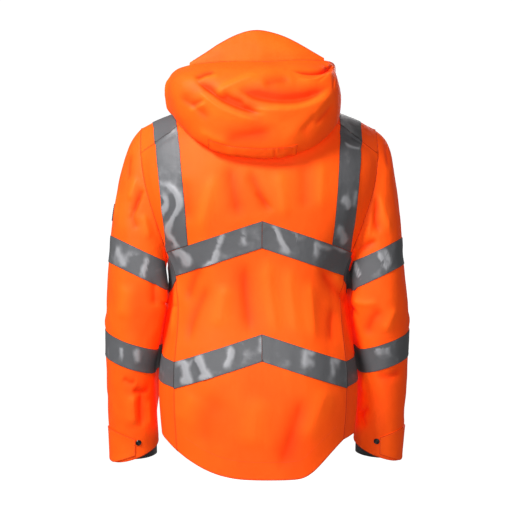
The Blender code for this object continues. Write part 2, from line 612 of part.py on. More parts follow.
def inner_cuff(side):
    """A black tube just inside the sleeve's end, which reaches lower on the body's side."""
    turn, down = np.meshgrid(np.radians(ring_turns()), np.linspace(0, 1, 3))

    def surface(turn, down):
        x, y, z, across, deep = (ARM[-1] * down[..., None] + ARM[-2] * (1 - down[..., None]))[..., :5].T
        x, y, across, deep = x.T, y.T, across.T - CUFF_INSIDE, deep.T - CUFF_INSIDE
        out, back = across * np.cos(turn), deep * np.sin(turn)
        level = CUFF_TOP + (CUFF_EDGE - CUFF_TOP) * down
        slant = CUFF_SIDE * out + CUFF_BACK * back
        start = ARM[-2, 5] * out + ARM[-2, 6] * back
        return stack(x + out, y + back, level + slant * down + (1 - down) * start)

    points = surface(turn, down)
    ahead = np.roll(points, -1, axis=1) - np.roll(points, 1, axis=1)
    drop = np.gradient(points, axis=0)
    normals = np.cross(drop, ahead)
    normals = normals / np.linalg.norm(normals, axis=-1, keepdims=True)
    rows, columns = turn.shape
    faces = []
    for i in range(rows - 1):
        for j in range(columns):
            a, b = i * columns + j, i * columns + (j + 1) % columns
            faces += [(a, b + columns, b), (a, a + columns, b + columns)]
    places = np.stack((turn, down), axis=-1).reshape(-1, 2)
    sheet = Sheet(points.reshape(-1, 3), normals.reshape(-1, 3), places, faces)
    return sheet if side > 0 else sheet.mirrored()


def surface_frame(x, z):
    """The sleeve's rear at a place seen from behind: the point and its outward normal."""
    turns, along = np.meshgrid(np.linspace(30, 150, 121), np.linspace(4, 6, 81))
    points = sleeve(turns, along)
    near = np.hypot(points[..., 0] - x, points[..., 2] - z)
    at = np.unravel_index(np.argmin(near), near.shape)
    normal = -normals_of(sleeve, turns[at], along[at])
    return Vector(points[at]), Vector(normal)


def add_stud(name, side):
    point, normal = surface_frame(*STUD_AT)
    if side < 0:
        point.x, normal.x = -point.x, -normal.x
    form = bmesh.new()
    bmesh.ops.create_cone(form, cap_ends=True, segments=20, radius1=STUD_RADIUS,
                          radius2=STUD_RADIUS * 0.72, depth=STUD_HEIGHT)
    upright = normal.to_track_quat("Z", "Y").to_matrix().to_4x4()
    middle = point + normal * (STUD_CLEAR + STUD_HEIGHT / 2)
    form.transform(Matrix.Translation(middle) @ upright)
    mesh = bpy.data.meshes.new(name)
    form.to_mesh(mesh)
    place(name, mesh, "metal")


def add_badge(arms):
    sheet = arms["left"].cut(lambda p, _: BADGE_TOP - p[:, 2]).cut(lambda p, _: p[:, 2] - BADGE_LOW)
    sheet = sheet.cut(lambda p, _: BADGE_BACK - p[:, 1]).cut(lambda p, _: p[:, 1] - BADGE_FRONT)
    outer = sheet.cut(lambda p, _: p[:, 0] - ARM_MIDDLE[0])
    wall("sleeve_patch", outer, ON_TOP, ON_TOP + BADGE_WALL, "lining")


# ---------------------------------------------------------------- zip
def zip_line():
    """Points down the centre front from the hem to the collar's top, with outward normals."""
    rows = body_rows()
    rise = np.linspace(0, 1, 5)[1:]
    points = np.vstack((body(180.0, rows), collar(180.0, rise)))
    way = np.gradient(points, axis=0)
    normals = np.stack((np.zeros(len(way)), -way[:, 2], way[:, 1]), axis=-1)
    return points, normals / np.linalg.norm(normals, axis=1, keepdims=True)


def zip_strip(half, cells):
    points, normals = zip_line()
    across = np.linspace(-half, half, cells + 1)
    grid = points[:, None, :] + stack(across, 0.0, 0.0)[None]
    columns = cells + 1
    faces = []
    for i in range(len(points) - 1):
        for j in range(cells):
            a = i * columns + j
            faces += [(a, a + 1, a + columns + 1), (a, a + columns + 1, a + columns)]
    places = np.zeros((len(points) * columns, 2))
    return Sheet(grid.reshape(-1, 3), np.repeat(normals, columns, axis=0), places, faces)


def box(name, size, middle, colour, bevel=0.0004):
    form = bmesh.new()
    bmesh.ops.create_cube(form, size=1.0, matrix=Matrix.Translation(middle) @ Matrix.Diagonal((*size, 1)))
    if bevel:
        bmesh.ops.bevel(form, geom=form.edges[:], offset=bevel, segments=1, affect="EDGES")
    mesh = bpy.data.meshes.new(name)
    form.to_mesh(mesh)
    return place(name, mesh, colour)


def rod(name, radius, length, middle, colour, segments=16):
    form = bmesh.new()
    bmesh.ops.create_cone(form, cap_ends=True, segments=segments, radius1=radius, radius2=radius,
                          depth=length)
    form.transform(Matrix.Translation(middle) @ Matrix.Rotation(pi / 2, 4, "Y"))
    mesh = bpy.data.meshes.new(name)
    form.to_mesh(mesh)
    return place(name, mesh, colour)


def combine(base, other, operation):
    """Unites or cuts with another object, which is then only a guide."""
    change = base.modifiers.new(operation.lower(), "BOOLEAN")
    change.operation, change.object = operation, other
    other.hide_render = True
    other.display_type = "WIRE"


def pull_pivot():
    middle = collar(180.0, SLIDER_UP)
    return Vector((0.0, middle[1] - CHAIN_HIGH - SLIDER_CLEAR - SLIDER[1] - LUG_OUT, middle[2]))


def add_zip():
    wall("zip_tape", zip_strip(ZIP_TAPE_HALF, 4), ZIP_TAPE_LOW, ZIP_TAPE_HIGH, "zip")
    wall("zip_chain", zip_strip(CHAIN_HALF, 2), CHAIN_LOW, CHAIN_HIGH, "zip")
    pivot = pull_pivot()
    slider = box("slider", SLIDER, pivot + Vector((0, LUG_OUT + SLIDER[1] / 2, 0)), "metal", 0.0008)
    for side in (-1, 1):
        at = pivot + Vector((side * (LUG_APART + LUG_SIZE[0] / 2), LUG_OUT - LUG_SIZE[1] / 2 + 0.0006, 0))
        combine(slider, box(f"lug_{side}", LUG_SIZE, at, "metal", 0), "UNION")
    combine(slider, rod("pin", PIN_RADIUS, 2 * LUG_APART + LUG_SIZE[0], pivot, "metal"), "UNION")
    eye_width = 2 * (LUG_APART - ON_TOP)
    tab = rod("pull_tab", EYE_RADIUS, eye_width, pivot, "metal")
    neck_middle = pivot + Vector((0, 0, -TAB_NECK / 2 - 0.0010))
    neck = box("tab_neck", (eye_width, TAB_THICK, TAB_NECK), neck_middle, "metal", 0)
    handle_middle = pivot + Vector((0, 0, -TAB_NECK - (TAB_LONG - TAB_NECK) / 2))
    handle = box("tab_handle", (TAB_WIDE, TAB_THICK, TAB_LONG - TAB_NECK), handle_middle, "metal", 0.0004)
    combine(tab, neck, "UNION")
    combine(tab, handle, "UNION")
    combine(tab, rod("eye_hole", EYE_HOLE, 3 * eye_width, pivot, "metal"), "DIFFERENCE")


def add_hood():
    whole, peak = hood_sheets()
    wall("hood", whole, -SHELL, 0, "shell")
    wall("hood_visor", peak, -SHELL, 0, "shell")
    strip = whole.cut(lambda p, w: w[:, 1] - CASING_FOLD).cut(lambda p, w: CASING_TOP - w[:, 1])
    strip = strip.cut(lambda p, _: CASING_WIDE - np.abs(p[:, 0] - CASING_SIDE)).cut(lambda p, _: p[:, 1])
    wall("hood_casing", strip, ON_TOP, ON_TOP + SHELL, "shell")


def main():
    for thing in list(bpy.data.objects):
        bpy.data.objects.remove(thing)
    sheets, arms = panels(), sleeve_sheets()
    for name, sheet in sheets.items():
        wall(name, sheet, -SHELL, 0, "shell")
    for side, sheet in arms.items():
        wall(f"sleeve_{side}", sheet, -SHELL, 0, "shell")
    wall("collar", collar_sheet(), -COLLAR_WALL, 0, "shell")
    add_hood()
    add_tapes(sheets, arms)
    add_cuffs(arms)
    add_badge(arms)
    add_zip()


main()
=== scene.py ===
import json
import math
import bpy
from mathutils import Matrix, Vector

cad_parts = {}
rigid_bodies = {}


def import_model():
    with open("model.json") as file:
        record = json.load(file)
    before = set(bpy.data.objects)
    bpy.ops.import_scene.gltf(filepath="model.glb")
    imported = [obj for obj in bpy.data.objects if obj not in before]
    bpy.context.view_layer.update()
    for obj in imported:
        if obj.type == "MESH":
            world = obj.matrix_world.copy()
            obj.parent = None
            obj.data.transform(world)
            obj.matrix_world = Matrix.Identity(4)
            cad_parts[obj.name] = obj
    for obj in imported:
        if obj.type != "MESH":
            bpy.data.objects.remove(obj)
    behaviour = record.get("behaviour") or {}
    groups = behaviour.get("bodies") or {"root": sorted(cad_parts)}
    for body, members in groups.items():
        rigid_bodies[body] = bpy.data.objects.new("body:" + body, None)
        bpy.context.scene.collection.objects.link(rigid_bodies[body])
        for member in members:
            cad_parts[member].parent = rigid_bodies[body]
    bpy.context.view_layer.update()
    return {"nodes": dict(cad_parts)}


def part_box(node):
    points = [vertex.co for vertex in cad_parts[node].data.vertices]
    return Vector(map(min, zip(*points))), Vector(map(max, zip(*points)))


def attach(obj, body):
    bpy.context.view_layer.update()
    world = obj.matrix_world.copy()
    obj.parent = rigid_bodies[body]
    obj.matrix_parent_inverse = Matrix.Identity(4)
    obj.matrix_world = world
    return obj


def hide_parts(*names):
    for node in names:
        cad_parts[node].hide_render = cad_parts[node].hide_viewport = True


bl_info = {
    "name": "Hi-vis work jacket",
    "version": (1, 0, 0),
    "blender": (4, 5, 0),
    "location": "3D View > Sidebar > Jacket",
    "description": "Sews the cloth, tape, zip and studs of a hooded hi-vis work jacket over its packed frame",
    "category": "Object",
}

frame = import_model()

import bmesh
import bpy
import numpy as np
from bpy.props import FloatProperty, FloatVectorProperty, PointerProperty
from mathutils import Matrix, Vector, noise
from mathutils.bvhtree import BVHTree
from mathutils.kdtree import KDTree

SIDES = ("left", "right")
PANELS = ("back", "front_left", "front_right")
SLEEVES = ("sleeve_left", "sleeve_right")
BODY_TAPES = [f"{name}_{side}" for side in SIDES for name in (
    "chevron_upper", "chevron_lower", "brace_back", "brace_front", "band_upper", "band_lower")]
ARM_TAPES = {side: [f"sleeve_band_{level}_{side}" for level in ("upper", "lower")] for side in SIDES}

# Points inside the jacket, by which a piece's outer face is told from its inner one. Those in an arm or a
# cuff are the left one's.
HEARTS = {"panels": (0, 0, -0.35), "tapes": (0, 0, -0.33), "collar": (0, 0, -0.01), "zip": (0, 0.05, -0.33),
          "arm": (0.25, -0.02, -0.42), "strap": (0.252, -0.04, -0.71), "cuff": (0.252, -0.06, -0.71),
          "patch": (0.25, -0.01, -0.24)}

TAPE_WIDTH = 0.050        # as the tape is sold
RIM_WIDTH = 0.0040        # a solid's rim faces are narrower than this
HOOD_RIM = 0.0026         # the hood's are only as wide as its wall
SLIVER_WIDTH = 0.0065     # slivers left at the hood's two front tips are narrower than this
COLLAR_WALL = 0.0026      # the collar is thicker than the shell, as it stands up
PATCH_WALL = 0.0012       # thickness of the patch
WEBBING_WALL = 0.0010     # and of the zip's tape
EDGE_TURN = 48            # degrees between a solid's outer face and its rim
CORNER_TURN = 35          # degrees at which a cut has a corner
WALL_TURN = 58            # degrees at which a sheet's own edge stays sharp
RUN_TURN = 32             # degrees at which a row of stitches ends
SHORTEST_RUN = 0.012      # edges shorter than this get no stitches
HALF_MM = 0.0005          # a cut's size is rounded up to the next millimetre
SHORT = 1e-9              # keeps a division from failing where a length is nought
SAME_PLACE = 1e-6         # points closer than this are one

# Creases, one to a row and all in mm: how wide to the left and to the right of the line, how high, then the
# line's points. A line is drawn on the cloth as it is seen from behind (x, z), from the front (x, z) or from
# a side (y, z). A row that ends in a comma goes on in the next one.
FOLDS = {
    "hood": {"behind": """
        5 3.6 -8: -52 31, -66 29, -81 27, -101 27, -122 32, -145 52
        4 9 3.7: -63 14, -82 11, -102 12, -123 22, -141 35
        3 3 -1.8: -141 45, -127 26, -114 15, -98 4
        3 3 -1.6: -142 37, -139 15, -136 -10
        6 6 3.7: -128 44, -140 50, -145 40
        14 6.5 -9.2: 57 0, 42 -10, 15 -23, -31 -30, -66 -27, -93 -20, -117 -7, -136 6
        6 16 4.6: 34 -43, 4 -48, -31 -48, -70 -44, -105 -31, -134 -14
        11 4.2 -7.5: 135 18, 122 5, 104 -9, 80 -29, 46 -44, 15 -53, -8 -54
        4 12 3.4: 133 -3, 110 -24, 84 -44, 45 -61, 3 -71
        7 7 -4.4: 133 13, 123 20, 110 27, 90 31
        5 8 2.3: 129 3, 116 13, 98 19, 79 21
        10 10 5.1: 103 -23, 72 -6, 39 10, 3 22
        8 8 -3.7: 80 -13, 61 -27, 34 -39
        12 9 -3: 4 1, -24 10, -55 13
        16 22 3.4: -138 -1, -109 -38, -74 -74, -47 -100, -28 -119
        6 6 2.3: 144 -49, 125 -41, 106 -34
        5 5 -2.1: 141 -40, 125 -32, 110 -26
        14 8 -3.4: 164 -18, 133 -39, 99 -68
        9 9 4.1: 177 20, 185 14, 186 -11, 182 -33, 175 -51
        14 14 -3: 79 -108, 26 -93, -24 -91
        10 14 -2.8: -106 -50, -86 -73, -67 -96
        7 7 -2.5: -138 -32, -122 -53, -98 -77
        9 9 2.3: 129 -80, 98 -100, 60 -110"""},
    "body": {"behind": """
        15 15 -5: 65 -141, 59 -180, 51 -222, 43 -261
        13 13 3.8: 94 -160, 101 -209, 115 -261, 122 -288
        9 13 -4.6: 26 -156, 10 -191, -5 -224, -17 -249
        5 5 -1.9: 16 -199, 1 -216, -15 -232, -23 -245
        15 15 3.8: -33 -152, -36 -191, -42 -234, -43 -261
        16 16 -2.9: -78 -140, -83 -191, -80 -245
        14 14 2.9: -118 -132, -117 -191, -113 -245
        14 14 -3.1: 148 -171, 146 -218, 140 -268
        11 11 -4.8: 114 -343, 130 -366, 140 -394, 147 -422
        13 13 3.8: 163 -367, 167 -407, 173 -451, 177 -494
        12 12 -4.3: 97 -378, 114 -409, 130 -441, 140 -473, 144 -504
        15 15 4.1: 70 -378, 77 -423, 85 -472
        15 15 -5.5: 29 -331, 33 -374, 30 -417, 23 -468, 21 -491
        14 14 4.3: -12 -319, -13 -370, -20 -421, -28 -472, -28 -495
        14 14 3.8: -53 -339, -56 -390, -64 -445, -67 -491
        10 20 4.3: -94 -366, -98 -413, -101 -461, -103 -503
        8 12 -4.8: -114 -343, -129 -367, -146 -389, -167 -407, -178 -418
        12 12 3.1: -139 -351, -155 -375, -178 -394
        14 14 -3.6: -146 -426, -141 -466, -143 -505
        5 5 -2.2: 178 -422, 175 -427, 159 -426
        26 18 -5.4: -86 -592, -74 -631, -59 -682, -40 -733, -32 -757
        24 24 4.2: -135 -575, -119 -613, -98 -656, -79 -699
        30 30 3: 0 -592, 12 -646, 23 -709
        28 28 -2.4: 78 -592, 109 -643, 109 -707
        20 20 2.2: 128 -593, 148 -625, 159 -658""",
        "front": """
        16 16 -3.2: -70 -120, -66 -180, -72 -250, -60 -320
        16 14 2.8: -104 -130, -100 -200, -94 -280, -98 -340
        14 14 -3: 62 -140, 70 -210, 64 -290, 58 -330
        14 14 2.6: 98 -150, 104 -230, 96 -310
        12 16 -3.4: -128 -262, -112 -290, -92 -310, -74 -318
        12 16 -3: 132 -268, 112 -300, 88 -318
        18 18 -2.8: -60 -420, -52 -480, -60 -540
        18 18 2.6: 54 -420, 64 -480, 56 -545
        20 20 -3: 86 -560, 96 -620, 90 -690
        20 20 2.6: -84 -560, -96 -620, -100 -680
        14 14 -2.4: 120 -400, 108 -450, 112 -500""",
        "left": """
        14 14 -2.6: 40 -330, 30 -400, 24 -480, 18 -560
        14 14 2.4: 0 -350, -8 -430, -4 -520""",
        "right": """
        14 14 -2.6: 36 -340, 28 -410, 30 -500, 20 -580
        14 14 2.4: -4 -360, -10 -440, -2 -530"""},
    "sleeve_left": {"behind": """
        5 8 -6.8: 228 -185, 231 -196, 240 -212, 248 -232, 255 -252
        8 8 3.4: 242 -168, 252 -192, 260 -220
        8 8 -3.4: 258 -240, 250 -260, 242 -276
        11 11 -3.7: 259 -119, 263 -148, 262 -180
        9 9 3.4: 232 -240, 226 -268, 220 -295
        12 12 3.1: 281 -191, 287 -227, 289 -263
        10 10 -4.1: 207 -367, 209 -399, 207 -431
        6 9 -5.1: 178 -418, 187 -423, 199 -421, 209 -412
        16 16 3.4: 266 -379, 270 -414, 274 -458
        7 9 -6.1: 217 -592, 229 -601, 243 -601, 257 -596
        8 14 4.8: 251 -600, 253 -625, 251 -650, 249 -675
        9 9 -5.4: 235 -597, 237 -625, 237 -654, 235 -679
        7 7 -3.1: 275 -572, 261 -582, 245 -584
        8 8 2.7: 221 -614, 221 -643, 219 -677""",
        "front": """
        8 10 -3.6: 212 -300, 226 -318, 244 -328, 262 -326
        9 9 2.4: 214 -330, 232 -346, 254 -352
        7 10 -4: 214 -380, 232 -392, 252 -396, 270 -388
        8 8 2.6: 218 -404, 238 -416, 262 -414
        7 9 -3.4: 216 -432, 236 -444, 260 -442
        9 9 -2.4: 236 -560, 232 -600, 236 -640""",
        "left": """
        9 9 -2.4: 24 -300, 10 -320, -10 -330
        9 9 -2.6: -34 -420, -16 -436, 6 -440
        10 10 2.2: -30 -450, -10 -466, 10 -470
        9 9 -2.2: -40 -600, -34 -630, -36 -664"""},
    "sleeve_right": {"behind": """
        9 7 -4.8: -241 -83, -237 -121, -233 -162, -227 -194
        9 9 -6.7: -226 -199, -233 -225, -227 -257, -241 -287
        10 10 4.5: -233 -196, -241 -223, -253 -255, -264 -287
        8 8 4.2: -218 -224, -222 -252, -215 -283, -223 -303
        6 8 -5.1: -190 -315, -204 -309, -221 -301, -239 -295
        10 10 -3.2: -257 -92, -258 -126, -261 -159
        10 10 -5.1: -184 -390, -195 -395, -208 -393
        6 9 -5.4: -182 -424, -190 -436, -194 -444, -206 -449
        8 8 3.5: -186 -415, -203 -423, -223 -423, -240 -415
        11 11 -4.8: -251 -431, -233 -447, -222 -467, -215 -492
        11 11 3.8: -274 -427, -262 -455, -250 -484
        10 10 -3.8: -233 -566, -253 -573, -274 -570, -294 -559
        8 8 -4.8: -206 -652, -215 -644, -228 -634
        10 10 3.5: -213 -605, -217 -575, -220 -562
        9 9 -3.8: -222 -679, -214 -663, -210 -639""",
        "front": """
        8 10 -3.6: -214 -310, -230 -326, -248 -332, -264 -328
        9 9 2.4: -216 -340, -236 -352, -256 -356
        7 10 -4: -216 -386, -236 -400, -256 -400, -272 -390
        8 8 2.6: -218 -410, -240 -424, -262 -420
        7 9 -3.4: -218 -440, -238 -450, -262 -446
        9 9 -2.4: -240 -570, -234 -610, -240 -650""",
        "right": """
        9 9 -2.4: 26 -310, 8 -330, -12 -336
        9 9 -2.6: -32 -416, -12 -432, 8 -434
        10 10 2.2: -28 -444, -8 -460, 12 -464
        9 9 -2.2: -42 -610, -34 -640, -40 -670"""},
    "brace_back_left": {"behind": """
        5 3.2 1.5: 206 -174, 195 -186, 181 -190, 169 -201, 162 -218, 163 -233, 173 -253, 185 -272, 184 -286,
        171 -297, 163 -315
        7 7 1.1: 199 -209, 189 -213, 183 -223, 189 -235, 199 -240
        5 5 -1.2: 187 -202, 175 -216, 173 -231, 183 -247, 193 -258
        5 5 -1: 167 -245, 163 -264, 157 -284"""},
    "chevron_upper_left": {"behind": """
        8 8 1.5: 167 -299, 157 -319, 144 -339, 134 -355
        5 5 -1: 134 -296, 130 -319, 126 -339
        5 3 1.4: 72 -269, 78 -288, 86 -309, 93 -335, 97 -347
        5 5 -0.8: 107 -292, 111 -315, 112 -339
        4 4 0.7: 37 -269, 37 -292, 31 -311"""},
    "chevron_upper_right": {"behind": """
        3.5 4.5 1.5: -19 -265, -27 -276, -37 -296, -49 -313, -59 -329
        5 5 0.9: -54 -272, -64 -282, -67 -296
        4 4 0.9: -104 -292, -107 -315, -110 -339
        5 5 -0.8: -4 -269, -12 -292, -20 -311
        3 3 0.8: -135 -305, -148 -301, -159 -309"""},
    "brace_back_right": {"behind": """
        3 2.5 1: -159 -98, -171 -109, -186 -114, -205 -114
        7 7 1.3: -153 -210, -166 -217, -173 -231, -171 -244
        7 7 1.2: -150 -260, -157 -280, -167 -299, -166 -311
        5 5 -1: -178 -209, -179 -236, -174 -264, -171 -287
        5 5 0.8: -189 -189, -185 -213, -179 -240"""},
    "chevron_lower_left": {"behind": """
        7 7 1.6: 153 -516, 151 -539, 146 -563, 136 -578
        5 5 -1.2: 136 -512, 132 -539, 122 -566
        7 7 1.5: 124 -519, 120 -538, 109 -557, 99 -569
        6 3 1.4: 58 -491, 60 -510, 64 -530, 78 -549
        5 5 -1: 46 -487, 45 -510, 47 -537
        3 3 0.8: -1 -475, -2 -503, -4 -534"""},
    "chevron_lower_right": {"behind": """
        6 6 1.2: -89 -503, -86 -526, -82 -553
        5 5 0.9: -138 -516, -140 -544, -143 -571"""},
    "sleeve_band_upper_left": {"behind": """
        3 4.5 1.4: 218 -327, 224 -339, 231 -355, 233 -377
        8 8 1.1: 286 -303, 280 -323, 270 -343, 262 -359
        5 5 -0.9: 250 -323, 248 -343, 250 -367"""},
    "sleeve_band_lower_left": {"behind": """
        3.5 3.5 1.3: 276 -495, 275 -519, 276 -547, 275 -559
        7 7 1: 247 -507, 245 -527, 241 -547
        5 5 -0.8: 263 -507, 261 -531, 261 -555"""},
    "sleeve_band_upper_right": {"behind": """
        2.5 3.5 1.4: -196 -327, -190 -339, -197 -359, -204 -379
        3.5 3.5 1.3: -231 -311, -239 -327, -251 -347, -258 -359
        3.5 3.5 1.2: -247 -309, -255 -327, -264 -347
        5 5 -0.8: -216 -319, -222 -339, -229 -363"""},
    "sleeve_band_lower_right": {"behind": """
        7 7 1.2: -237 -502, -241 -522, -244 -545
        3.5 3.5 1: -256 -498, -259 -518, -262 -541"""},
    "brace_front_left": {"front": """
        5 4 1.2: 176 -110, 168 -126, 172 -146, 180 -160
        6 6 1: 164 -190, 176 -206, 172 -226
        4 5 1.2: 186 -250, 174 -268, 178 -290, 168 -306"""},
    "brace_front_right": {"front": """
        5 4 1.2: -180 -120, -166 -132, -168 -150
        6 6 1: -160 -180, -172 -200, -166 -224
        4 5 1.1: -184 -256, -170 -272, -176 -300"""},
    "band_upper_left": {"front": """
        4 5 1.1: 60 -344, 66 -362, 62 -380, 68 -396
        6 6 0.9: 110 -342, 104 -364, 108 -392
        4 4 1: 148 -346, 142 -362, 146 -386"""},
    "band_upper_right": {"front": """
        4 5 1.1: -48 -344, -56 -360, -50 -378, -54 -394
        6 6 0.9: -96 -342, -102 -364, -98 -392
        4 4 1: -140 -346, -134 -366, -138 -386"""},
    "band_lower_left": {"front": """
        5 4 1: 50 -522, 56 -540, 52 -560, 58 -574
        5 6 1.1: 104 -524, 98 -544, 104 -570""",
        "left": """
        5 5 1: -20 -530, -14 -548, -18 -568"""},
    "band_lower_right": {"front": """
        5 4 1: -64 -522, -58 -540, -62 -560, -56 -574
        5 6 1.1: -118 -526, -110 -546, -116 -570""",
        "right": """
        5 5 1: -16 -530, -10 -548, -14 -568"""},
}


# ---------------------------------------------------------------- sizes and colours
class JacketSizes(bpy.types.PropertyGroup):
    shell_wall: FloatProperty(name="Shell cloth", description="Thickness of the laminated shell cloth",
                              default=0.0016, unit="LENGTH")
    tape_wall: FloatProperty(name="Tape", description="Thickness of the reflective tape", default=0.0009,
                             unit="LENGTH")
    fold_depth: FloatProperty(name="Fold depth", description="How strongly the folds stand out", default=1.0,
                              subtype="FACTOR", min=0, max=1.5)
    stitch: FloatProperty(name="Stitch", description="Length of one stitch", default=0.0029, unit="LENGTH")
    stitch_gap: FloatProperty(name="Stitch gap", description="Cloth between two stitches", default=0.0007,
                              unit="LENGTH")
    thread: FloatProperty(name="Thread", description="Thickness of the sewing thread", default=0.0006,
                          unit="LENGTH")
    edge_row: FloatProperty(name="Edge row", description="From an edge to its row of stitches",
                            default=0.0022, unit="LENGTH")
    hem_row: FloatProperty(name="Hem row", description="From the tail's edge to the hem's upper row",
                           default=0.036, unit="LENGTH")
    tooth_pitch: FloatProperty(name="Tooth pitch", description="From one zip tooth to the next on its side",
                               default=0.0030, unit="LENGTH")


class JacketColours(bpy.types.PropertyGroup):
    # Painted shade: the finish mixes from the shell's orange on the ridges to the redder orange below, down
    # in the folds' hollows.
    shell: FloatVectorProperty(name="Shell", description="Fluorescent orange of the ridges", size=3,
                               default=(1.0, 0.120, 0.005), subtype="COLOR")
    shell_painted_shade: FloatVectorProperty(name="Shell in folds", description="Redder orange down in the folds",
                                    size=3, default=(0.92, 0.042, 0.001), subtype="COLOR")
    tape: FloatVectorProperty(name="Tape", description="Grey of the glass-bead tape", size=3,
                              default=(0.105, 0.106, 0.112), subtype="COLOR")
    # Painted highlight: the finish lightens the tape toward the silver below along its creases and in broad
    # patches.
    tape_painted_highlight: FloatVectorProperty(name="Creased tape", size=3, default=(0.31, 0.31, 0.325),
                                     description="Silver of the tape where it is creased", subtype="COLOR")
    lining: FloatVectorProperty(name="Lining", description="Black of the lining and inner cuffs", size=3,
                                default=(0.012, 0.012, 0.014), subtype="COLOR")
    metal: FloatVectorProperty(name="Studs", description="Black enamel of the studs, slider and tab",
                               size=3, default=(0.010, 0.009, 0.009), subtype="COLOR")


class JacketStage(bpy.types.PropertyGroup):
    lens: FloatProperty(name="Lens", description="Focal length of the camera, in mm", default=117.8)
    distance: FloatProperty(name="Distance", description="From the camera to the jacket", default=3.4,
                            unit="LENGTH")
    azimuth: FloatProperty(name="Azimuth", description="Direction the camera stands in",
                           default=math.radians(177), subtype="ANGLE")
    key: FloatProperty(name="Key light", description="Power of the soft key light", default=112.0,
                       unit="POWER")
    fill: FloatProperty(name="Fill light", description="Power of the fill light", default=36.0, unit="POWER")
    front: FloatProperty(name="Front light", description="Power of the light on the jacket's front",
                         default=40.0, unit="POWER")
    sky: FloatProperty(name="Surround", description="Strength of the white surround", default=0.20,
                       min=0, max=2)


def sizes():
    return bpy.context.scene.jacket_sizes


def colours():
    return bpy.context.scene.jacket_colours


# ---------------------------------------------------------------- shader maths
class Wire:
    """A socket that can stand in sums."""

    def __init__(self, finish, socket):
        self.finish, self.socket = finish, socket

    def maths(self, operation, *others, first=None):
        values = [self, *others] if first is None else [first, self, *others]
        return self.finish.node("ShaderNodeMath", {"operation": operation}, dict(enumerate(values)))

    def __add__(self, other):
        return self.maths("ADD", other)

    __radd__ = __add__

    def __sub__(self, other):
        return self.maths("SUBTRACT", other)

    def __rsub__(self, other):
        return self.maths("SUBTRACT", first=other)

    def __mul__(self, other):
        return self.maths("MULTIPLY", other)

    def size(self):
        return self.maths("ABSOLUTE")

    def within(self, low, high):
        return self.maths("MAXIMUM", low).maths("MINIMUM", high)

    def wave(self, pitch):
        """From 0 to 1 and back over each pitch."""
        return (self * (2 * math.pi / pitch)).maths("SINE") * 0.5 + 0.5

    def ramp(self, start, end):
        """0 before start and 1 after end."""
        return self.finish.node("ShaderNodeMapRange", {"interpolation_type": "SMOOTHSTEP", "clamp": True},
                                {"Value": self, "From Min": start, "From Max": end})


class Finish:
    """A material and the nodes behind it."""

    def __init__(self, name, **constants):
        self.material = bpy.data.materials.new(name)
        self.material.use_nodes = True
        self.tree = self.material.node_tree
        self.tree.nodes.clear()
        self.shader = self.tree.nodes.new("ShaderNodeBsdfPrincipled")
        out = self.tree.nodes.new("ShaderNodeOutputMaterial")
        self.tree.links.new(self.shader.outputs[0], out.inputs[0])
        for socket, value in constants.items():
            self.shader.inputs[socket.replace("_", " ")].default_value = value

    def node(self, kind, settings, values, output=0):
        made = self.tree.nodes.new(kind)
        for name, value in settings.items():
            setattr(made, name, value)
        for socket, value in values.items():
            self.give(made.inputs[socket], value)
        return Wire(self, made.outputs[output])

    def give(self, socket, value):
        if isinstance(value, Wire):
            self.tree.links.new(value.socket, socket)
        elif hasattr(value, "__len__") and socket.type == "RGBA":
            socket.default_value = (*value[:3], 1.0)
        else:
            socket.default_value = value

    def set(self, **wires):
        for socket, value in wires.items():
            self.give(self.shader.inputs[socket.replace("_", " ")], value)
        return self.material

    def place(self):
        return self.node("ShaderNodeTexCoord", {}, {}, "Object")

    def sewn(self, name):
        """Across and along, in metres, from one of the cloth's own maps."""
        both = self.node("ShaderNodeUVMap", {"uv_map": name}, {})
        return [self.node("ShaderNodeSeparateXYZ", {}, {0: both}, side) for side in ("X", "Y")], both

    def puckered(self, stretch, end):
        """Distance from the nearest seam and the puckers beside it, which are gone at the distance end."""
        (_, off), seams = self.sewn("seam")
        beside = 1.0 - off.ramp(0.002, end)
        return off, self.clouds(self.stretched(seams, stretch), 1.0, 1.0) * beside

    def height(self, name):
        return self.node("ShaderNodeAttribute", {"attribute_name": name}, {}, "Fac")

    def clouds(self, where, scale, detail=2.0, roughness=0.5, distortion=0.0):
        return self.node("ShaderNodeTexNoise", {}, {"Vector": where, "Scale": scale, "Detail": detail,
                                                    "Roughness": roughness, "Distortion": distortion})

    def stretched(self, where, scale):
        return self.node("ShaderNodeMapping", {}, {"Vector": where, "Scale": scale})

    def mix(self, share, low, high, blend="MIX"):
        made = self.tree.nodes.new("ShaderNodeMix")
        made.data_type, made.blend_type = "RGBA", blend
        self.give(made.inputs[0], share)
        self.give(made.inputs[6], low)
        self.give(made.inputs[7], high)
        return Wire(self, made.outputs[2])

    def shaded(self, colour, shade):
        """A colour made darker or lighter."""
        grey = self.node("ShaderNodeCombineColor", {}, {0: shade, 1: shade, 2: shade})
        return self.mix(1.0, colour, grey, "MULTIPLY")

    def bump(self, height, strength, distance, under=None):
        values = {"Height": height, "Strength": strength, "Distance": distance}
        if under is not None:
            values["Normal"] = under
        return self.node("ShaderNodeBump", {}, values, "Normal")


def woven(across, along, pitch):
    """Plain weave: threads over and under each other, from 0 to 1."""
    turn = 2 * math.pi / pitch
    return (across * turn).maths("SINE") * (along * turn).maths("SINE") * 0.5 + 0.5


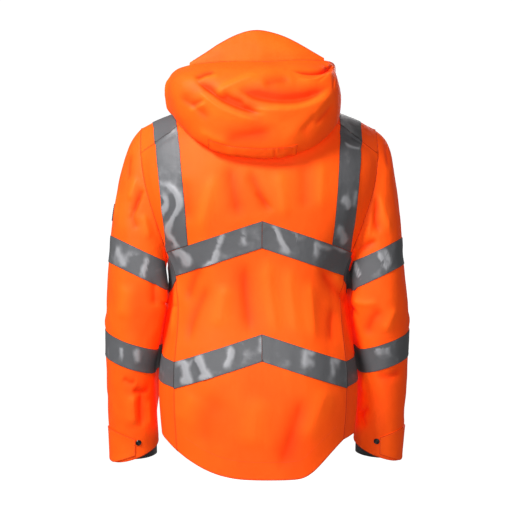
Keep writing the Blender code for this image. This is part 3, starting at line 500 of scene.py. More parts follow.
def shell_cloth(name="hi_vis_shell", seam=0.55, fold_shade=0.46):
    """Laminated polyester in fluorescent orange: a fine weave, faint slubs and puckers beside each seam,
    painted shade down in the folds and along the seams, and a faint painted glow.
    """
    # The faint red-orange emission is partly the dye's real fluorescence and partly a painted glow that keeps
    # the shade in the folds orange.
    cloth = Finish(name, Specular_IOR_Level=0.14, Sheen_Weight=0.03, Sheen_Roughness=0.45,
                   Emission_Strength=0.15, Emission_Color=(1.0, 0.016, 0.0, 1.0),
                   Sheen_Tint=(1.0, 0.45, 0.2, 1.0))
    # Painted shade: a thin dark red line along each seam, where its groove would lie in shadow; the seam
    # argument sets how strongly it is painted.
    dark_edge_colour = (0.22, 0.012, 0.001)
    (across, along), _ = cloth.sewn("cloth")
    place = cloth.place()
    weave = woven(across, along, 0.0011)
    slub = cloth.clouds(cloth.stretched(place, (900.0, 900.0, 90.0)), 1.0, 1.0)
    mottle = cloth.clouds(place, 14.0, 2.0)
    small = cloth.clouds(place, 62.0, 3.0, 0.55, 0.6)
    soft = cloth.clouds(cloth.stretched(place, (26.0, 26.0, 13.0)), 1.0, 2.0, 0.5, 0.4)
    off, pucker = cloth.puckered((150.0, 34.0, 1.0), 0.014)
    turned = off.ramp(0.0002, 0.0014)
    # Painted shade: by the fold height kept on the cloth, the orange turns darker and redder down in the
    # folds' hollows, the more so the larger the last argument; the mottle varies it at random.
    height = (cloth.height("fold") * fold_shade + 0.74 + (mottle - 0.5) * 0.22).within(0.0, 1.0)
    fold_shaded = cloth.mix(height, tuple(colours().shell_painted_shade), tuple(colours().shell))
    colour = cloth.shaded(fold_shaded, 0.93 + weave * 0.06 + slub * 0.04)
    edge = cloth.mix((1.0 - off.ramp(0.0006, 0.0018)) * seam, colour, dark_edge_colour)
    rough = 0.60 + (weave - 0.5) * 0.10 + (mottle - 0.5) * 0.10
    wide = cloth.bump(soft + small * 0.35, 0.55, 0.0022)
    near = cloth.bump(pucker + turned * 0.5, 0.55, 0.0011, wide)
    fine = cloth.bump(weave + slub * 0.35, 0.28, 0.00022, near)
    return cloth.set(Base_Color=edge, Roughness=rough, Normal=fine)


def hood_cloth():
    """The shell's cloth on the hood, with stronger painted shade along its seams and down in its creases."""
    return shell_cloth("hi_vis_hood", 1.0, 0.66)


def bead_tape(name="reflective_tape"):
    """Glass-bead tape: silver grey with painted highlights along its creases and in broad patches, a fine
    embossed grid and sewn edges.
    """
    tape = Finish(name, Specular_IOR_Level=0.30, Metallic=0.12)
    dark_edge_colour = (0.050, 0.040, 0.038)
    (across, along), _ = tape.sewn("cloth")
    place = tape.place()
    grid = woven(across, along, 0.0016)
    beads = tape.clouds(place, 1900.0, 1.0)
    crinkle = tape.clouds(place, 70.0, 3.0, 0.5, 0.15)
    broad = tape.clouds(place, 26.0, 2.0, 0.45, 0.3)
    smudge = tape.clouds(place, 22.0, 3.0, 0.55)
    off, pucker = tape.puckered((170.0, 40.0, 1.0), 0.010)
    # Painted highlight: lighter silver on the drawn creases and in broad patches, where light would catch the
    # tape; the same mask makes it a little smoother.
    painted_highlight = (tape.height("fold") * 0.95 + (crinkle - 0.5) * 0.35 + (broad - 0.5) * 1.15).ramp(0.04, 0.70)
    base = tape.mix(painted_highlight, tuple(colours().tape), tuple(colours().tape_painted_highlight))
    colour = tape.shaded(base, 0.92 + beads * 0.10 + (smudge - 0.5) * 0.10 + grid * 0.03)
    edge = tape.mix(1.0 - off.ramp(0.0003, 0.0010), colour, dark_edge_colour)
    rough = 0.50 + (beads - 0.5) * 0.10 + (smudge - 0.5) * 0.14 - painted_highlight * 0.06
    wide = tape.bump(crinkle * 0.35 + broad, 0.5, 0.0018)
    near = tape.bump(pucker, 0.5, 0.0009, wide)
    fine = tape.bump(beads * 0.6 + grid, 0.22, 0.00015, near)
    return tape.set(Base_Color=edge, Roughness=rough, Normal=fine)


def lining_cloth(name="lining_taffeta"):
    """Black taffeta of the inside, slightly shiny, with its own fine weave and soft wrinkles."""
    cloth = Finish(name, Specular_IOR_Level=0.4, Sheen_Weight=0.10)
    (across, along), _ = cloth.sewn("cloth")
    weave = woven(across, along, 0.0007)
    wrinkle = cloth.clouds(cloth.place(), 55.0, 3.0, 0.55, 0.8)
    colour = cloth.mix(weave * 0.6 + wrinkle * 0.3, tuple(colours().lining), (0.028, 0.028, 0.031))
    return cloth.set(Base_Color=colour, Roughness=0.48 + wrinkle * 0.16,
                     Normal=cloth.bump(weave, 0.25, 0.00012, cloth.bump(wrinkle, 0.5, 0.0016)))


def rib_knit(name="cuff_rib"):
    """Black storm cuff gathered on elastic: ribs along the arm, narrow bands of elastic round it."""
    knit = Finish(name, Specular_IOR_Level=0.3, Sheen_Weight=0.2)
    (across, along), _ = knit.sewn("cloth")
    rib, band = across.wave(0.0032), along.wave(0.0064)
    fuzz = knit.clouds(knit.place(), 700.0, 2.0)
    colour = knit.mix(rib * 0.5 + fuzz * 0.4, tuple(colours().lining), (0.030, 0.030, 0.033))
    return knit.set(Base_Color=colour, Roughness=0.72 + fuzz * 0.15,
                    Normal=knit.bump(rib + band * 0.5 + fuzz * 0.3, 0.7, 0.0006))


def zip_webbing(name="zip_tape_weave"):
    """Black herringbone tape that the zip's teeth are moulded on."""
    web = Finish(name, Specular_IOR_Level=0.35)
    (across, along), _ = web.sewn("cloth")
    turn = 2 * math.pi / 0.0012
    slant = (across.size() * turn + along * turn).maths("SINE") * 0.5 + 0.5
    fuzz = web.clouds(web.place(), 900.0, 2.0)
    colour = web.mix(slant * 0.6 + fuzz * 0.2, tuple(colours().lining), (0.035, 0.035, 0.038))
    return web.set(Base_Color=colour, Roughness=0.62 + fuzz * 0.14,
                   Normal=web.bump(slant + fuzz * 0.3, 0.5, 0.0003))


def enamel(name="black_enamel"):
    """Black enamel on brass, a little worn and dusty."""
    metal = Finish(name, Metallic=0.35, Specular_IOR_Level=0.5, Coat_Weight=0.35, Coat_Roughness=0.12)
    place = metal.place()
    wear = metal.clouds(place, 420.0, 3.0, 0.6).ramp(0.60, 0.72)
    dust = metal.clouds(place, 160.0, 3.0, 0.6)
    colour = metal.mix(wear * 0.5, tuple(colours().metal), (0.055, 0.047, 0.040))
    return metal.set(Base_Color=colour, Roughness=0.26 + dust * 0.20 + wear * 0.1,
                     Normal=metal.bump(dust, 0.18, 0.0002))


def grained(name, low, high, scale, detail, rough, spread, depth, **constants):
    """A plain finish with one grain in its colour, roughness and height."""
    made = Finish(name, **constants)
    grain = made.clouds(made.place(), scale, detail)
    return made.set(Base_Color=made.mix(grain, low, high), Roughness=rough + grain * spread,
                    Normal=made.bump(grain, depth, 0.0001))


def moulded():
    """Black moulded acetal of the zip's teeth."""
    return grained("zip_teeth", (0.010, 0.010, 0.011), (0.022, 0.022, 0.024), 900.0, 2.0, 0.34, 0.2, 0.15,
                   Specular_IOR_Level=0.5)


def spun(name):
    """Sewing thread: two plies twisted together."""
    dark, light = {"orange_thread": ((0.55, 0.040, 0.003), (0.85, 0.075, 0.006)),
                   "grey_thread": ((0.075, 0.075, 0.08), (0.13, 0.13, 0.137)),
                   "black_thread": ((0.010, 0.010, 0.011), (0.03, 0.03, 0.032))}[name]
    return grained(name, dark, light, 2600.0, 1.0, 0.50, 0.2, 0.3, Specular_IOR_Level=0.35, Sheen_Weight=0.15)


MAKERS = {"shell": shell_cloth, "hood": hood_cloth, "tape": bead_tape, "lining": lining_cloth,
          "rib": rib_knit, "webbing": zip_webbing, "metal": enamel, "teeth": moulded}
FINISHES = {}


def finish(name):
    """One of the jacket's finishes, made the first time it is used."""
    if name not in FINISHES:
        FINISHES[name] = spun(name) if name.endswith("_thread") else MAKERS[name]()
    return FINISHES[name]


# ---------------------------------------------------------------- cloth
def numbers(collection, name, width=3, kind=float):
    """One value of every item of a mesh, as rows of numbers."""
    found = np.empty(len(collection) * width, kind)
    collection.foreach_get(name, found)
    return found.reshape(-1, width)


def corners_of_loops(mesh):
    """The number of the point at each corner of the faces."""
    return numbers(mesh.loops, "vertex_index", 1, int)[:, 0]


def unit(ways):
    """Each row made one long."""
    return ways / np.maximum(np.linalg.norm(ways, axis=1, keepdims=True), SHORT)


def way_gone(line):
    """How far along a line each of its points is."""
    return np.concatenate(((0,), np.cumsum(np.linalg.norm(np.diff(line, axis=0), axis=1))))


def part_way(line, gone, distance):
    """The places at the given distances along a line."""
    return np.stack([np.interp(distance, gone, line[:, i]) for i in range(3)], axis=-1)


def steps_round(ring):
    """At each point of a closed ring, the way from the point before to the one after."""
    return np.roll(ring, -1, axis=0) - np.roll(ring, 1, axis=0)


def shade_smooth(mesh):
    mesh.polygons.foreach_set("use_smooth", [True] * len(mesh.polygons))


def add_object(name, data):
    made = bpy.data.objects.new(name, data)
    bpy.context.scene.collection.objects.link(made)
    return made


class Skin:
    """The outer face of one piece of cloth: its object, points and outward normals."""

    def __init__(self, made):
        self.made, self.edges_open = made, None
        self.read()

    def read(self):
        mesh, self.cloth = self.made.data, None
        self.points, self.normals = numbers(mesh.vertices, "co"), numbers(mesh.vertices, "normal")
        self.faces = [tuple(face.vertices) for face in mesh.polygons]

    def move(self, points):
        self.made.data.vertices.foreach_set("co", np.ascontiguousarray(points).ravel())
        self.made.data.update()
        self.read()

    def raise_by(self, height):
        """Moves each point out along its normal."""
        self.move(self.points + self.normals * height[:, None])

    def tree(self):
        if self.cloth is None:
            self.cloth = BVHTree.FromPolygons([Vector(point) for point in self.points], self.faces)
        return self.cloth

    def rims(self):
        """Each open edge as an ordered ring of points' numbers."""
        if self.edges_open:
            return self.edges_open
        seen = {pair for face in self.faces for pair in zip(face, face[1:] + face[:1])}
        after = {a: b for a, b in seen if (b, a) not in seen}
        rings = []
        while after:
            ring = [min(after)]
            while ring[-1] in after:
                ring.append(after.pop(ring[-1]))
            rings.append(ring[:-1])
        self.edges_open = rings
        return rings

    def on_rim(self):
        """Which points lie on an open edge."""
        rim = np.zeros(len(self.points), bool)
        rim[[i for ring in self.rims() for i in ring]] = True
        return rim

    def edges(self):
        return numbers(self.made.data.edges, "vertices", 2, int)

    def mean_beside(self, values, edges):
        """At each point, the mean of the values at the points next to it."""
        count, total = np.zeros(len(values)), np.zeros_like(values)
        np.add.at(count, edges.ravel(), 1)
        np.add.at(total, edges[:, 0], values[edges[:, 1]])
        np.add.at(total, edges[:, 1], values[edges[:, 0]])
        return total / count[:, None]


SKINS = {}


def shortest(face):
    return min(edge.calc_length() for edge in face.edges)


def patches_of(cloth, stops):
    """The faces of a mesh in patches, with a border along the edges given."""
    patches, done = [], set()
    for first in cloth.faces:
        if first in done:
            continue
        patch, front = [], [first]
        done.add(first)
        while front:
            face = front.pop()
            patch.append(face)
            for edge in face.edges:
                if edge not in stops:
                    fresh = [other for other in edge.link_faces if other not in done]
                    done.update(fresh)
                    front.extend(fresh)
        patches.append(patch)
    return patches


def outer_face(node, heart=None, rim=None):
    """The outer face alone of a node's cloth, as a bmesh: the patches that face away from the point heart, or
    else the largest patch. Sharp edges part the patches, or with rim the faces that are narrower than it."""
    cloth = bmesh.new()
    cloth.from_mesh(frame["nodes"][node].data)
    bmesh.ops.remove_doubles(cloth, verts=cloth.verts, dist=SAME_PLACE)
    cloth.normal_update()
    if rim:
        narrow = {face for face in cloth.faces if shortest(face) < rim}
        stops = {edge for edge in cloth.edges if narrow.intersection(edge.link_faces)}
    else:
        stops = {edge for edge in cloth.edges if edge.calc_face_angle(0) > math.radians(EDGE_TURN)}
    patches = patches_of(cloth, stops)

    def faces_out(patch):
        ways = [face.normal.dot(face.calc_center_median() - Vector(heart)) for face in patch]
        return sum(face.calc_area() * way for face, way in zip(patch, ways)) > 0

    def is_rim(patch):
        return max(map(shortest, patch)) < RIM_WIDTH

    if heart:
        keep = {face for patch in patches if not is_rim(patch) and faces_out(patch) for face in patch}
    else:
        keep = set(max(patches, key=lambda patch: sum(face.calc_area() for face in patch)))
    bmesh.ops.delete(cloth, geom=[face for face in cloth.faces if face not in keep], context="FACES")
    for _ in range(2 if rim else 0):
        slivers = [face for face in cloth.faces
                   if sum(edge.is_boundary for edge in face.edges) > 1 and shortest(face) < SLIVER_WIDTH]
        bmesh.ops.delete(cloth, geom=slivers, context="FACES")
    return cloth


def only(made):
    """Makes one object the only selected and active one."""
    for other in bpy.context.view_layer.objects:
        other.select_set(False)
    made.hide_set(False)
    made.select_set(True)
    bpy.context.view_layer.objects.active = made


def apply_all(made):
    only(made)
    for modifier in list(made.modifiers):
        bpy.ops.object.modifier_apply(modifier=modifier.name)


def corners(cloth):
    """Marks the sharp corners of the cut, which smoothing keeps."""
    keep = cloth.verts.layers.float.new("crease_vert")
    for point in cloth.verts:
        ends = [edge.other_vert(point).co - point.co for edge in point.link_edges if edge.is_boundary]
        if len(ends) == 2 and math.degrees(ends[0].angle(-ends[1])) > CORNER_TURN:
            point[keep] = 1.0


def unrolled_arm(mesh, points, at, arm):
    """The flat pattern of cloth round an arm, whose middle runs between two points."""
    (low_x, low_y, low_z), (top_x, top_y, top_z) = arm
    share = (points[:, 2] - low_z) / (top_z - low_z)
    dx = points[:, 0] - (low_x + share * (top_x - low_x))
    dy = points[:, 1] - (low_y + share * (top_y - low_y))
    radius = np.hypot(dx, dy).mean()
    turn = np.arctan2(dx * np.sign(low_x), dy)[at]
    for face in mesh.polygons:
        loops = list(face.loop_indices)
        if np.ptp(turn[loops]) > math.pi:
            turn[loops] = np.where(turn[loops] < 0, turn[loops] + 2 * math.pi, turn[loops])
    return np.stack((turn * radius, points[at, 2]), axis=-1)


def unrolled_piece(made, points, at):
    """The flat pattern of any other cloth: unwrapped, brought to its real size and turned upright."""
    only(made)
    bpy.ops.object.mode_set(mode="EDIT")
    bpy.ops.mesh.select_all(action="SELECT")
    bpy.ops.uv.unwrap(method="CONFORMAL", margin=0.0)
    bpy.ops.object.mode_set(mode="OBJECT")
    flat = numbers(made.data.uv_layers["cloth"].data, "uv", 2)
    real = paper = 0.0
    for face in made.data.polygons:
        loops = list(face.loop_indices)
        x, y = flat[loops, 0], flat[loops, 1]
        paper += abs(np.dot(x, np.roll(y, -1)) - np.dot(y, np.roll(x, -1))) / 2
        real += face.area
    flat *= math.sqrt(real / paper)
    spread = flat - flat.mean(axis=0)
    rise = np.linalg.lstsq(spread, points[at, 2] - points[at, 2].mean(), rcond=None)[0]
    up = rise / np.linalg.norm(rise)
    return np.stack((flat @ np.array((up[1], -up[0])), flat @ up), axis=-1)


def flat_map(made, arm=None):
    """Keeps the piece's flat pattern in metres, its length upright, as the map "cloth"; gives its size."""
    mesh = made.data
    mesh.uv_layers.new(name="cloth")
    points, at = numbers(mesh.vertices, "co"), corners_of_loops(mesh)
    flat = unrolled_arm(mesh, points, at, arm) if arm else unrolled_piece(made, points, at)
    layer = mesh.uv_layers["cloth"]
    layer.data.foreach_set("uv", np.ascontiguousarray(flat, dtype=float).ravel())
    return np.ptp(flat, axis=0)


def cloth_sheet(node, name, levels=3, heart=None, rim=None, arm=None):
    """A smooth sheet over a node's outer face, with its flat pattern."""
    cloth = outer_face(node, heart, rim)
    bmesh.ops.join_triangles(cloth, faces=cloth.faces[:], angle_face_threshold=0.8, angle_shape_threshold=0.9)
    corners(cloth)
    mesh = bpy.data.meshes.new(name)
    cloth.to_mesh(mesh)
    cloth.free()
    made = add_object(name, mesh)
    made["flat"] = [float(side) for side in flat_map(made, arm)]
    smooth = made.modifiers.new("smooth", "SUBSURF")
    smooth.levels = smooth.render_levels = levels
    smooth.boundary_smooth = "PRESERVE_CORNERS"
    apply_all(made)
    shade_smooth(made.data)
    SKINS[node] = Skin(made)
    return SKINS[node]


def tree_of(*names):
    """The cloth of some pieces, to look for places on."""
    points, faces = [], []
    for name in names:
        start = len(points)
        points += [Vector(point) for point in SKINS[name].points]
        faces += [tuple(start + i for i in face) for face in SKINS[name].faces]
    return BVHTree.FromPolygons(points, faces)


# ---------------------------------------------------------------- folds
GIVES_WAY = 0.022    # folds die down this close to an armhole or the neckline
FOLD_REACH = 3.2     # a fold is gone at so many times its width from its line
FOLD_END = 0.28      # the share of its length over which each end of a fold dies down
FOLD_SHAPE = 1.45    # 2 would be a round ridge, less makes it sharper
SHARP = 7.2          # a fold whose narrower side is no wider than this, in mm, gets finer cells
SHARPEST = 4.3       # and in the hood finer ones again
REFINE_SPREAD = 2.2  # finer cells reach so many times a fold's wider side from its line
REFINE_REACH = 0.04  # and are looked for this far from it
FULL_FOLD = 0.0040   # a fold this high takes the lightest colour, free of painted fold shade
HOLLOW = 1.5         # of FULL_FOLD, the most that the finish is told


def smoothstep(value):
    value = np.clip(value, 0, 1)
    return value * value * (3 - 2 * value)


def soften(line, times=2):
    """Cuts a line's corners, as a fold runs."""
    line = np.array(line, float)
    for _ in range(times):
        a, b = line[:-1], line[1:]
        middle = np.stack((a * 0.75 + b * 0.25, a * 0.25 + b * 0.75), axis=1).reshape(-1, line.shape[1])
        line = np.vstack((line[:1], middle[1:-1], line[-1:]))
    return line


def folds(group):
    """The creases of a group: the view, the widths and the height in mm, and the line's points in metres."""
    found = []
    for view, rows in FOLDS.get(group, {}).items():
        for row in rows.replace(",\n", ",").strip().splitlines():
            size, points = row.split(":")
            left, right, high = map(float, size.split())
            line = soften([tuple(map(float, point.split())) for point in points.split(",")]) / 1000
            found.append((view, (left, right), high, line))
    return found


def onto(cloth, view, line):
    """A drawn line's points on the cloth, with the cloth's outward normals there."""
    found = []
    for across, up in line:
        start, way = {
            "behind": ((across, 1.0, up), (0, -1, 0)), "front": ((across, -1.0, up), (0, 1, 0)),
            "left": ((1.0, across, up), (-1, 0, 0)), "right": ((-1.0, across, up), (1, 0, 0)),
        }[view]
        point, normal, _, _ = cloth.ray_cast(Vector(start), Vector(way))
        if point is None:
            near = Vector(start) * 0.05 + Vector((0, 0, up * 0.95))
            if view in ("behind", "front"):
                near.x = across
            else:
                near.y = across
            point, normal, _, _ = cloth.find_nearest(near)
        found.append((point, normal))
    return np.array([point for point, _ in found]), np.array([normal for _, normal in found])


def beside(points, line, facing, reach):
    """The points within reach of a line: their numbers, distances, shares of its way, sides and facings."""
    inside = (points > line.min(axis=0) - reach) & (points < line.max(axis=0) + reach)
    near = np.flatnonzero(inside.all(axis=1))
    p = points[near]
    best = np.full(len(p), 1e9)
    along, side, face = np.zeros(len(p)), np.zeros(len(p)), np.zeros((len(p), 3))
    lengths = np.linalg.norm(np.diff(line, axis=0), axis=1)
    total, before = max(lengths.sum(), SHORT), 0.0
    for a, b, length, up in zip(line[:-1], line[1:], lengths, facing):
        if length < 1e-7:
            continue
        way = (b - a) / length
        share = np.clip((p - a) @ way, 0, length)
        off = p - (a + share[:, None] * way)
        away = np.linalg.norm(off, axis=1)
        closer = away < best
        best[closer] = away[closer]
        along[closer] = (before + share[closer]) / total
        side[closer] = (off @ np.cross(way, up))[closer]
        face[closer] = up
        before += length
    return near, best, along, side, face


def fold_height(points, normals, line, facing, wide, depth):
    """How far one fold, its sizes in mm, lifts each point: full height on its line, gone at its two ends."""
    left, right = wide[0] / 1000, wide[1] / 1000
    height = np.zeros(len(points))
    near, best, along, side, face = beside(points, line, facing, FOLD_REACH * max(left, right))
    taper = smoothstep(np.minimum(along, 1 - along) / FOLD_END)
    turned = np.clip((normals[near] * face).sum(axis=1) * 2, 0, 1)
    ridge = np.exp(-(best / np.where(side > 0, right, left)) ** FOLD_SHAPE)
    height[near] = depth / 1000 * ridge * taper * turned
    return height


def refine(skin, lines):
    """Halves the cells of a sheet beside its sharp folds, and of the hood once more beside the sharpest."""
    for sharp in (SHARP, SHARPEST) if skin is SKINS.get("hood") else (SHARP,):
        close = np.zeros(len(skin.points), bool)
        for line, facing, wide, _ in lines:
            if min(wide) <= sharp:
                near, best, *_ = beside(skin.points, line, facing, REFINE_REACH)
                close[near[best < REFINE_SPREAD * min(max(wide), 2 * sharp) / 1000]] = True
        form = bmesh.new()
        form.from_mesh(skin.made.data)
        form.verts.ensure_lookup_table()
        cells = {face for i in np.flatnonzero(close) for face in form.verts[i].link_faces}
        edges = {edge for face in cells for edge in face.edges}
        bmesh.ops.subdivide_edges(form, edges=list(edges), cuts=1, use_grid_fill=True, smooth=1.0)
        form.to_mesh(skin.made.data)
        form.free()
        shade_smooth(skin.made.data)
        skin.edges_open = None
        skin.read()


def uneven(points, scale, seed):
    """Smooth unevenness from -1 to 1, with waves of the given lengths; each seed gives its own."""
    step = 1 / np.array(scale, float)
    return np.array([noise.noise(Vector(point)) for point in points * step + seed * 17.3])


def draw_folds(names, group, rings=()):
    """Presses the drawn folds of a group into its sheets, giving way at the rings where other cloth joins."""
    cloth = tree_of(*names)
    lines = [(*onto(cloth, view, line), wide, depth) for view, wide, depth, line in folds(group)]
    for name in names:
        skin = SKINS[name]
        refine(skin, lines)
        height = np.zeros(len(skin.points))
        for line, facing, wide, depth in lines:
            height += fold_height(skin.points, skin.normals, line, facing, wide, depth)
        height *= sizes().fold_depth
        height += waves(group, skin.points)
        for ring in rings:
            away = np.full(len(skin.points), 1e9)
            for point in ring:
                away = np.minimum(away, np.linalg.norm(skin.points - point, axis=1))
            height *= smoothstep(away / GIVES_WAY)
        skin.raise_by(height)
        keep_height(skin, height / FULL_FOLD)


def close_seam(skin, out=0.00020, down=0.00012):
    """Carries a sheet's rim across the hairline left for its seam, turned slightly in as sewn cloth is."""
    points = skin.points.copy()
    for ring in skin.rims():
        away = unit(np.cross(steps_round(skin.points[ring]), skin.normals[ring]))
        points[ring] += away * out - skin.normals[ring] * down
    skin.move(points)


JOINED = {"back": ("front_left", "front_right", "sleeve_left", "sleeve_right")}
for side in SIDES:
    JOINED[f"front_{side}"] = ("back", f"sleeve_{side}")
    JOINED[f"sleeve_{side}"] = ("back", f"front_{side}")


def find_in(points):
    """A tree of points to look for the nearest in."""
    tree = KDTree(len(points))
    for i, point in enumerate(points):
        tree.insert(point, i)
    tree.balance()
    return tree


def eased(step, reach):
    """The mean of each row of a ring and those up to reach before and after it."""
    return sum(np.roll(step, turn, axis=0) for turn in range(-reach, reach + 1)) / (2 * reach + 1)


def toward(name, others, reach, spread, share, level=False):
    """A sheet's points with its rim drawn a share of the way to the rims of others within reach, and with it
    the cloth out to the distance spread. level keeps each move along the normal."""
    skin = SKINS[name]
    rims = [SKINS[other].points[ring] for other in others for ring in SKINS[other].rims()]
    tree = find_in(np.concatenate(rims))
    places, steps = [], []
    for ring in skin.rims():
        step = np.zeros((len(ring), 3))
        for k, i in enumerate(ring):
            where, _, far = tree.find(skin.points[i])
            if far < reach:
                step[k] = share * (np.array(where) - skin.points[i])
        if level:
            step = skin.normals[ring] * (step * skin.normals[ring]).sum(axis=1)[:, None]
        places.extend(skin.points[ring])
        steps.extend(eased(step, 3))
    steps, own = np.array(steps), find_in(places)
    points = skin.points.copy()
    for i, point in enumerate(skin.points):
        near = own.find_n(point, 4)
        if near[0][2] < spread:
            part = np.array([1 / (far + 0.0004) for _, _, far in near])
            steady = (steps[[k for _, k, _ in near]] * part[:, None]).sum(axis=0) / part.sum()
            points[i] += steady * smoothstep(np.array(1 - near[0][2] / spread))
    return points


def level_seams():
    """Brings the rims of joined sheets level with each other, so that no step is left along their seams."""
    moved = {name: toward(name, others, reach=0.009, spread=0.026, share=0.5, level=True)
             for name, others in JOINED.items()}
    for name, points in moved.items():
        SKINS[name].move(points)


def tuck(skin, other, reach=0.006, under=0.0040, deep=0.0026):
    """Runs a sheet's rim in under the piece it is sewn to, where the two meet."""
    cloth = SKINS[other].tree()
    points = skin.points.copy()
    for ring in skin.rims():
        step = np.zeros((len(ring), 3))
        for k, i in enumerate(ring):
            where, facing, _, far = cloth.find_nearest(Vector(skin.points[i]))
            if far < reach:
                step[k] = np.array(where + Vector((0, 0, -under)) - facing * deep) - skin.points[i]
        joined = np.linalg.norm(step, axis=1) > 0
        points[ring] += np.where(joined[:, None], step, eased(step, 4))
    skin.move(points)


def keep_height(skin, value):
    """Keeps how far a fold stands out, for the finish to read: the shell paints shade in the hollows by it,
    and the tape paints highlights on the creases.
    """
    layer = skin.made.data.attributes.get("fold") or skin.made.data.attributes.new("fold", "FLOAT", "POINT")
    layer.data.foreach_set("value", np.clip(value, -HOLLOW, HOLLOW).astype(np.float32))


ARM_WAVES = (0.0013, (0.05, 0.05, 0.06), 3), (0.0006, (0.02, 0.02, 0.03), 4)
WAVES = {"body": ((0.0011, (0.055, 0.055, 0.16), 1), (0.0005, (0.022, 0.022, 0.05), 2)),
         "sleeve_left": ARM_WAVES, "sleeve_right": ARM_WAVES,
         "hood": ((0.0012, (0.06, 0.06, 0.04), 5), (0.0004, (0.02, 0.02, 0.018), 6))}


def waves(group, points):
    """Two sizes of soft waves: how high, how long across, deep and up, and the seed of each."""
    (high, scale, seed), (fine_high, fine_scale, fine_seed) = WAVES[group]
    return high * uneven(points, scale, seed) + fine_high * uneven(points, fine_scale, fine_seed)


# ---------------------------------------------------------------- edges, walls and stitches
BATCH = 2000             # points measured at a time, to spare memory
# A stitch: where its two rings stand between its ends, and how far out the thread is at its side, top, other
# side and underside and how deep at its ends, all as shares of its length or thickness.
RINGS_AT = (0.22, 0.78)
THREAD_OUT = (0.5, 0.62, 0.5, 0.4)
THREAD_DEEP = 0.25


def seam_map(skin):
    """The map "seam": the way along the nearest edge and the distance from it, in metres."""
    loops = [skin.points[ring] for ring in skin.rims()]
    edge_points, way_on = np.vstack(loops), unit(np.vstack([steps_round(loop) for loop in loops]))
    gone = np.concatenate([way_gone(loop) for loop in loops])
    run, off = np.empty(len(skin.points)), np.empty(len(skin.points))
    for start in range(0, len(skin.points), BATCH):
        p = skin.points[start:start + BATCH]
        apart = np.linalg.norm(p[:, None] - edge_points[None], axis=2)
        near = apart.argmin(axis=1)
        along = ((p - edge_points[near]) * way_on[near]).sum(axis=1)
        run[start:start + BATCH] = gone[near] + along
        off[start:start + BATCH] = np.sqrt(np.maximum(apart[np.arange(len(p)), near] ** 2 - along ** 2, 0))
    mesh = skin.made.data
    at = corners_of_loops(mesh)
    layer = mesh.uv_layers.new(name="seam")
    layer.data.foreach_set("uv", np.stack((run[at], off[at]), axis=-1).ravel())


def runs(skin):
    """Each open edge split at the cut's corners into runs of points' numbers."""
    found = []
    for ring in skin.rims():
        loop = skin.points[ring]
        before, after = loop - np.roll(loop, 1, axis=0), np.roll(loop, -1, axis=0) - loop
        bend = (before * after).sum(axis=1) / np.maximum(
            np.linalg.norm(before, axis=1) * np.linalg.norm(after, axis=1), 1e-12)
        sharp = list(np.flatnonzero(bend < math.cos(math.radians(RUN_TURN))))
        if not sharp:
            found.append(ring + ring[:1])
            continue
        for a, b in zip(sharp, sharp[1:] + [sharp[0] + len(ring)]):
            run = [ring[i % len(ring)] for i in range(a, b + 1)]
            if way_gone(skin.points[run])[-1] > SHORTEST_RUN:
                found.append(run)
    return found


def row_beside(skin, run, inset, ends):
    """A row of places on the cloth that keeps its distance from an edge, with their normals."""
    edges, rim = skin.edges(), skin.on_rim()
    inward = np.zeros_like(skin.points)
    for a, b in ((0, 1), (1, 0)):
        pick = rim[edges[:, a]] & ~rim[edges[:, b]]
        np.add.at(inward, edges[pick, a], skin.points[edges[pick, b]] - skin.points[edges[pick, a]])
    line = skin.points[run]
    across = unit(np.cross(skin.normals[run], unit(np.gradient(line, axis=0))))
    if (across * inward[run]).sum() < 0:
        across = -across
    places = [skin.tree().find_nearest(Vector(point)) for point in line + across * inset]
    where, facing = np.array([place[0] for place in places]), np.array([place[1] for place in places])
    gone = way_gone(where)
    inside = (gone >= ends) & (gone <= gone[-1] - ends)
    return where[inside], facing[inside]


def sew(name, rows, colour, slot):
    """One mesh of stitches along rows of places, each a short twist of thread with its ends in the cloth."""
    length, gap, thick = sizes().stitch, sizes().stitch_gap, sizes().thread
    points, faces = [], []
    for where, facing in rows:
        gone = way_gone(where) if len(where) > 1 else np.zeros(1)
        count = int((gone[-1] - gap) // (length + gap))
        if count < 1:
            continue
        starts = (np.arange(count) + 0.5) * (gone[-1] / count) - length / 2
        (a, up_a), (b, up_b) = [(part_way(where, gone, distance), unit(part_way(facing, gone, distance)))
                                for distance in (starts, starts + length)]
        up = unit(up_a + up_b)
        side = np.cross(up, unit(b - a))
        twist = [way * thick * out for way, out in zip((side, up, -side, -up), THREAD_OUT)]
        rings = [a + (b - a) * share + away for share in RINGS_AT for away in twist]
        deep = up * thick * THREAD_DEEP
        block = np.stack([a - deep, *rings, b - deep], axis=1)
        base = len(points)
        for k, stitch in enumerate(block):
            o = base + k * len(stitch)
            points.extend(stitch)
            for i in range(4):
                j = (i + 1) % 4
                faces += [(o, o + 1 + j, o + 1 + i), (o + 1 + i, o + 1 + j, o + 5 + j, o + 5 + i),
                          (o + 9, o + 5 + i, o + 5 + j)]
    mesh = bpy.data.meshes.new(name)
    mesh.from_pydata([tuple(point) for point in points], [], faces)
    mesh.update()
    shade_smooth(mesh)
    made = add_object(name, mesh)
    mesh.materials.append(finish(colour))
    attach(made, "jacket")


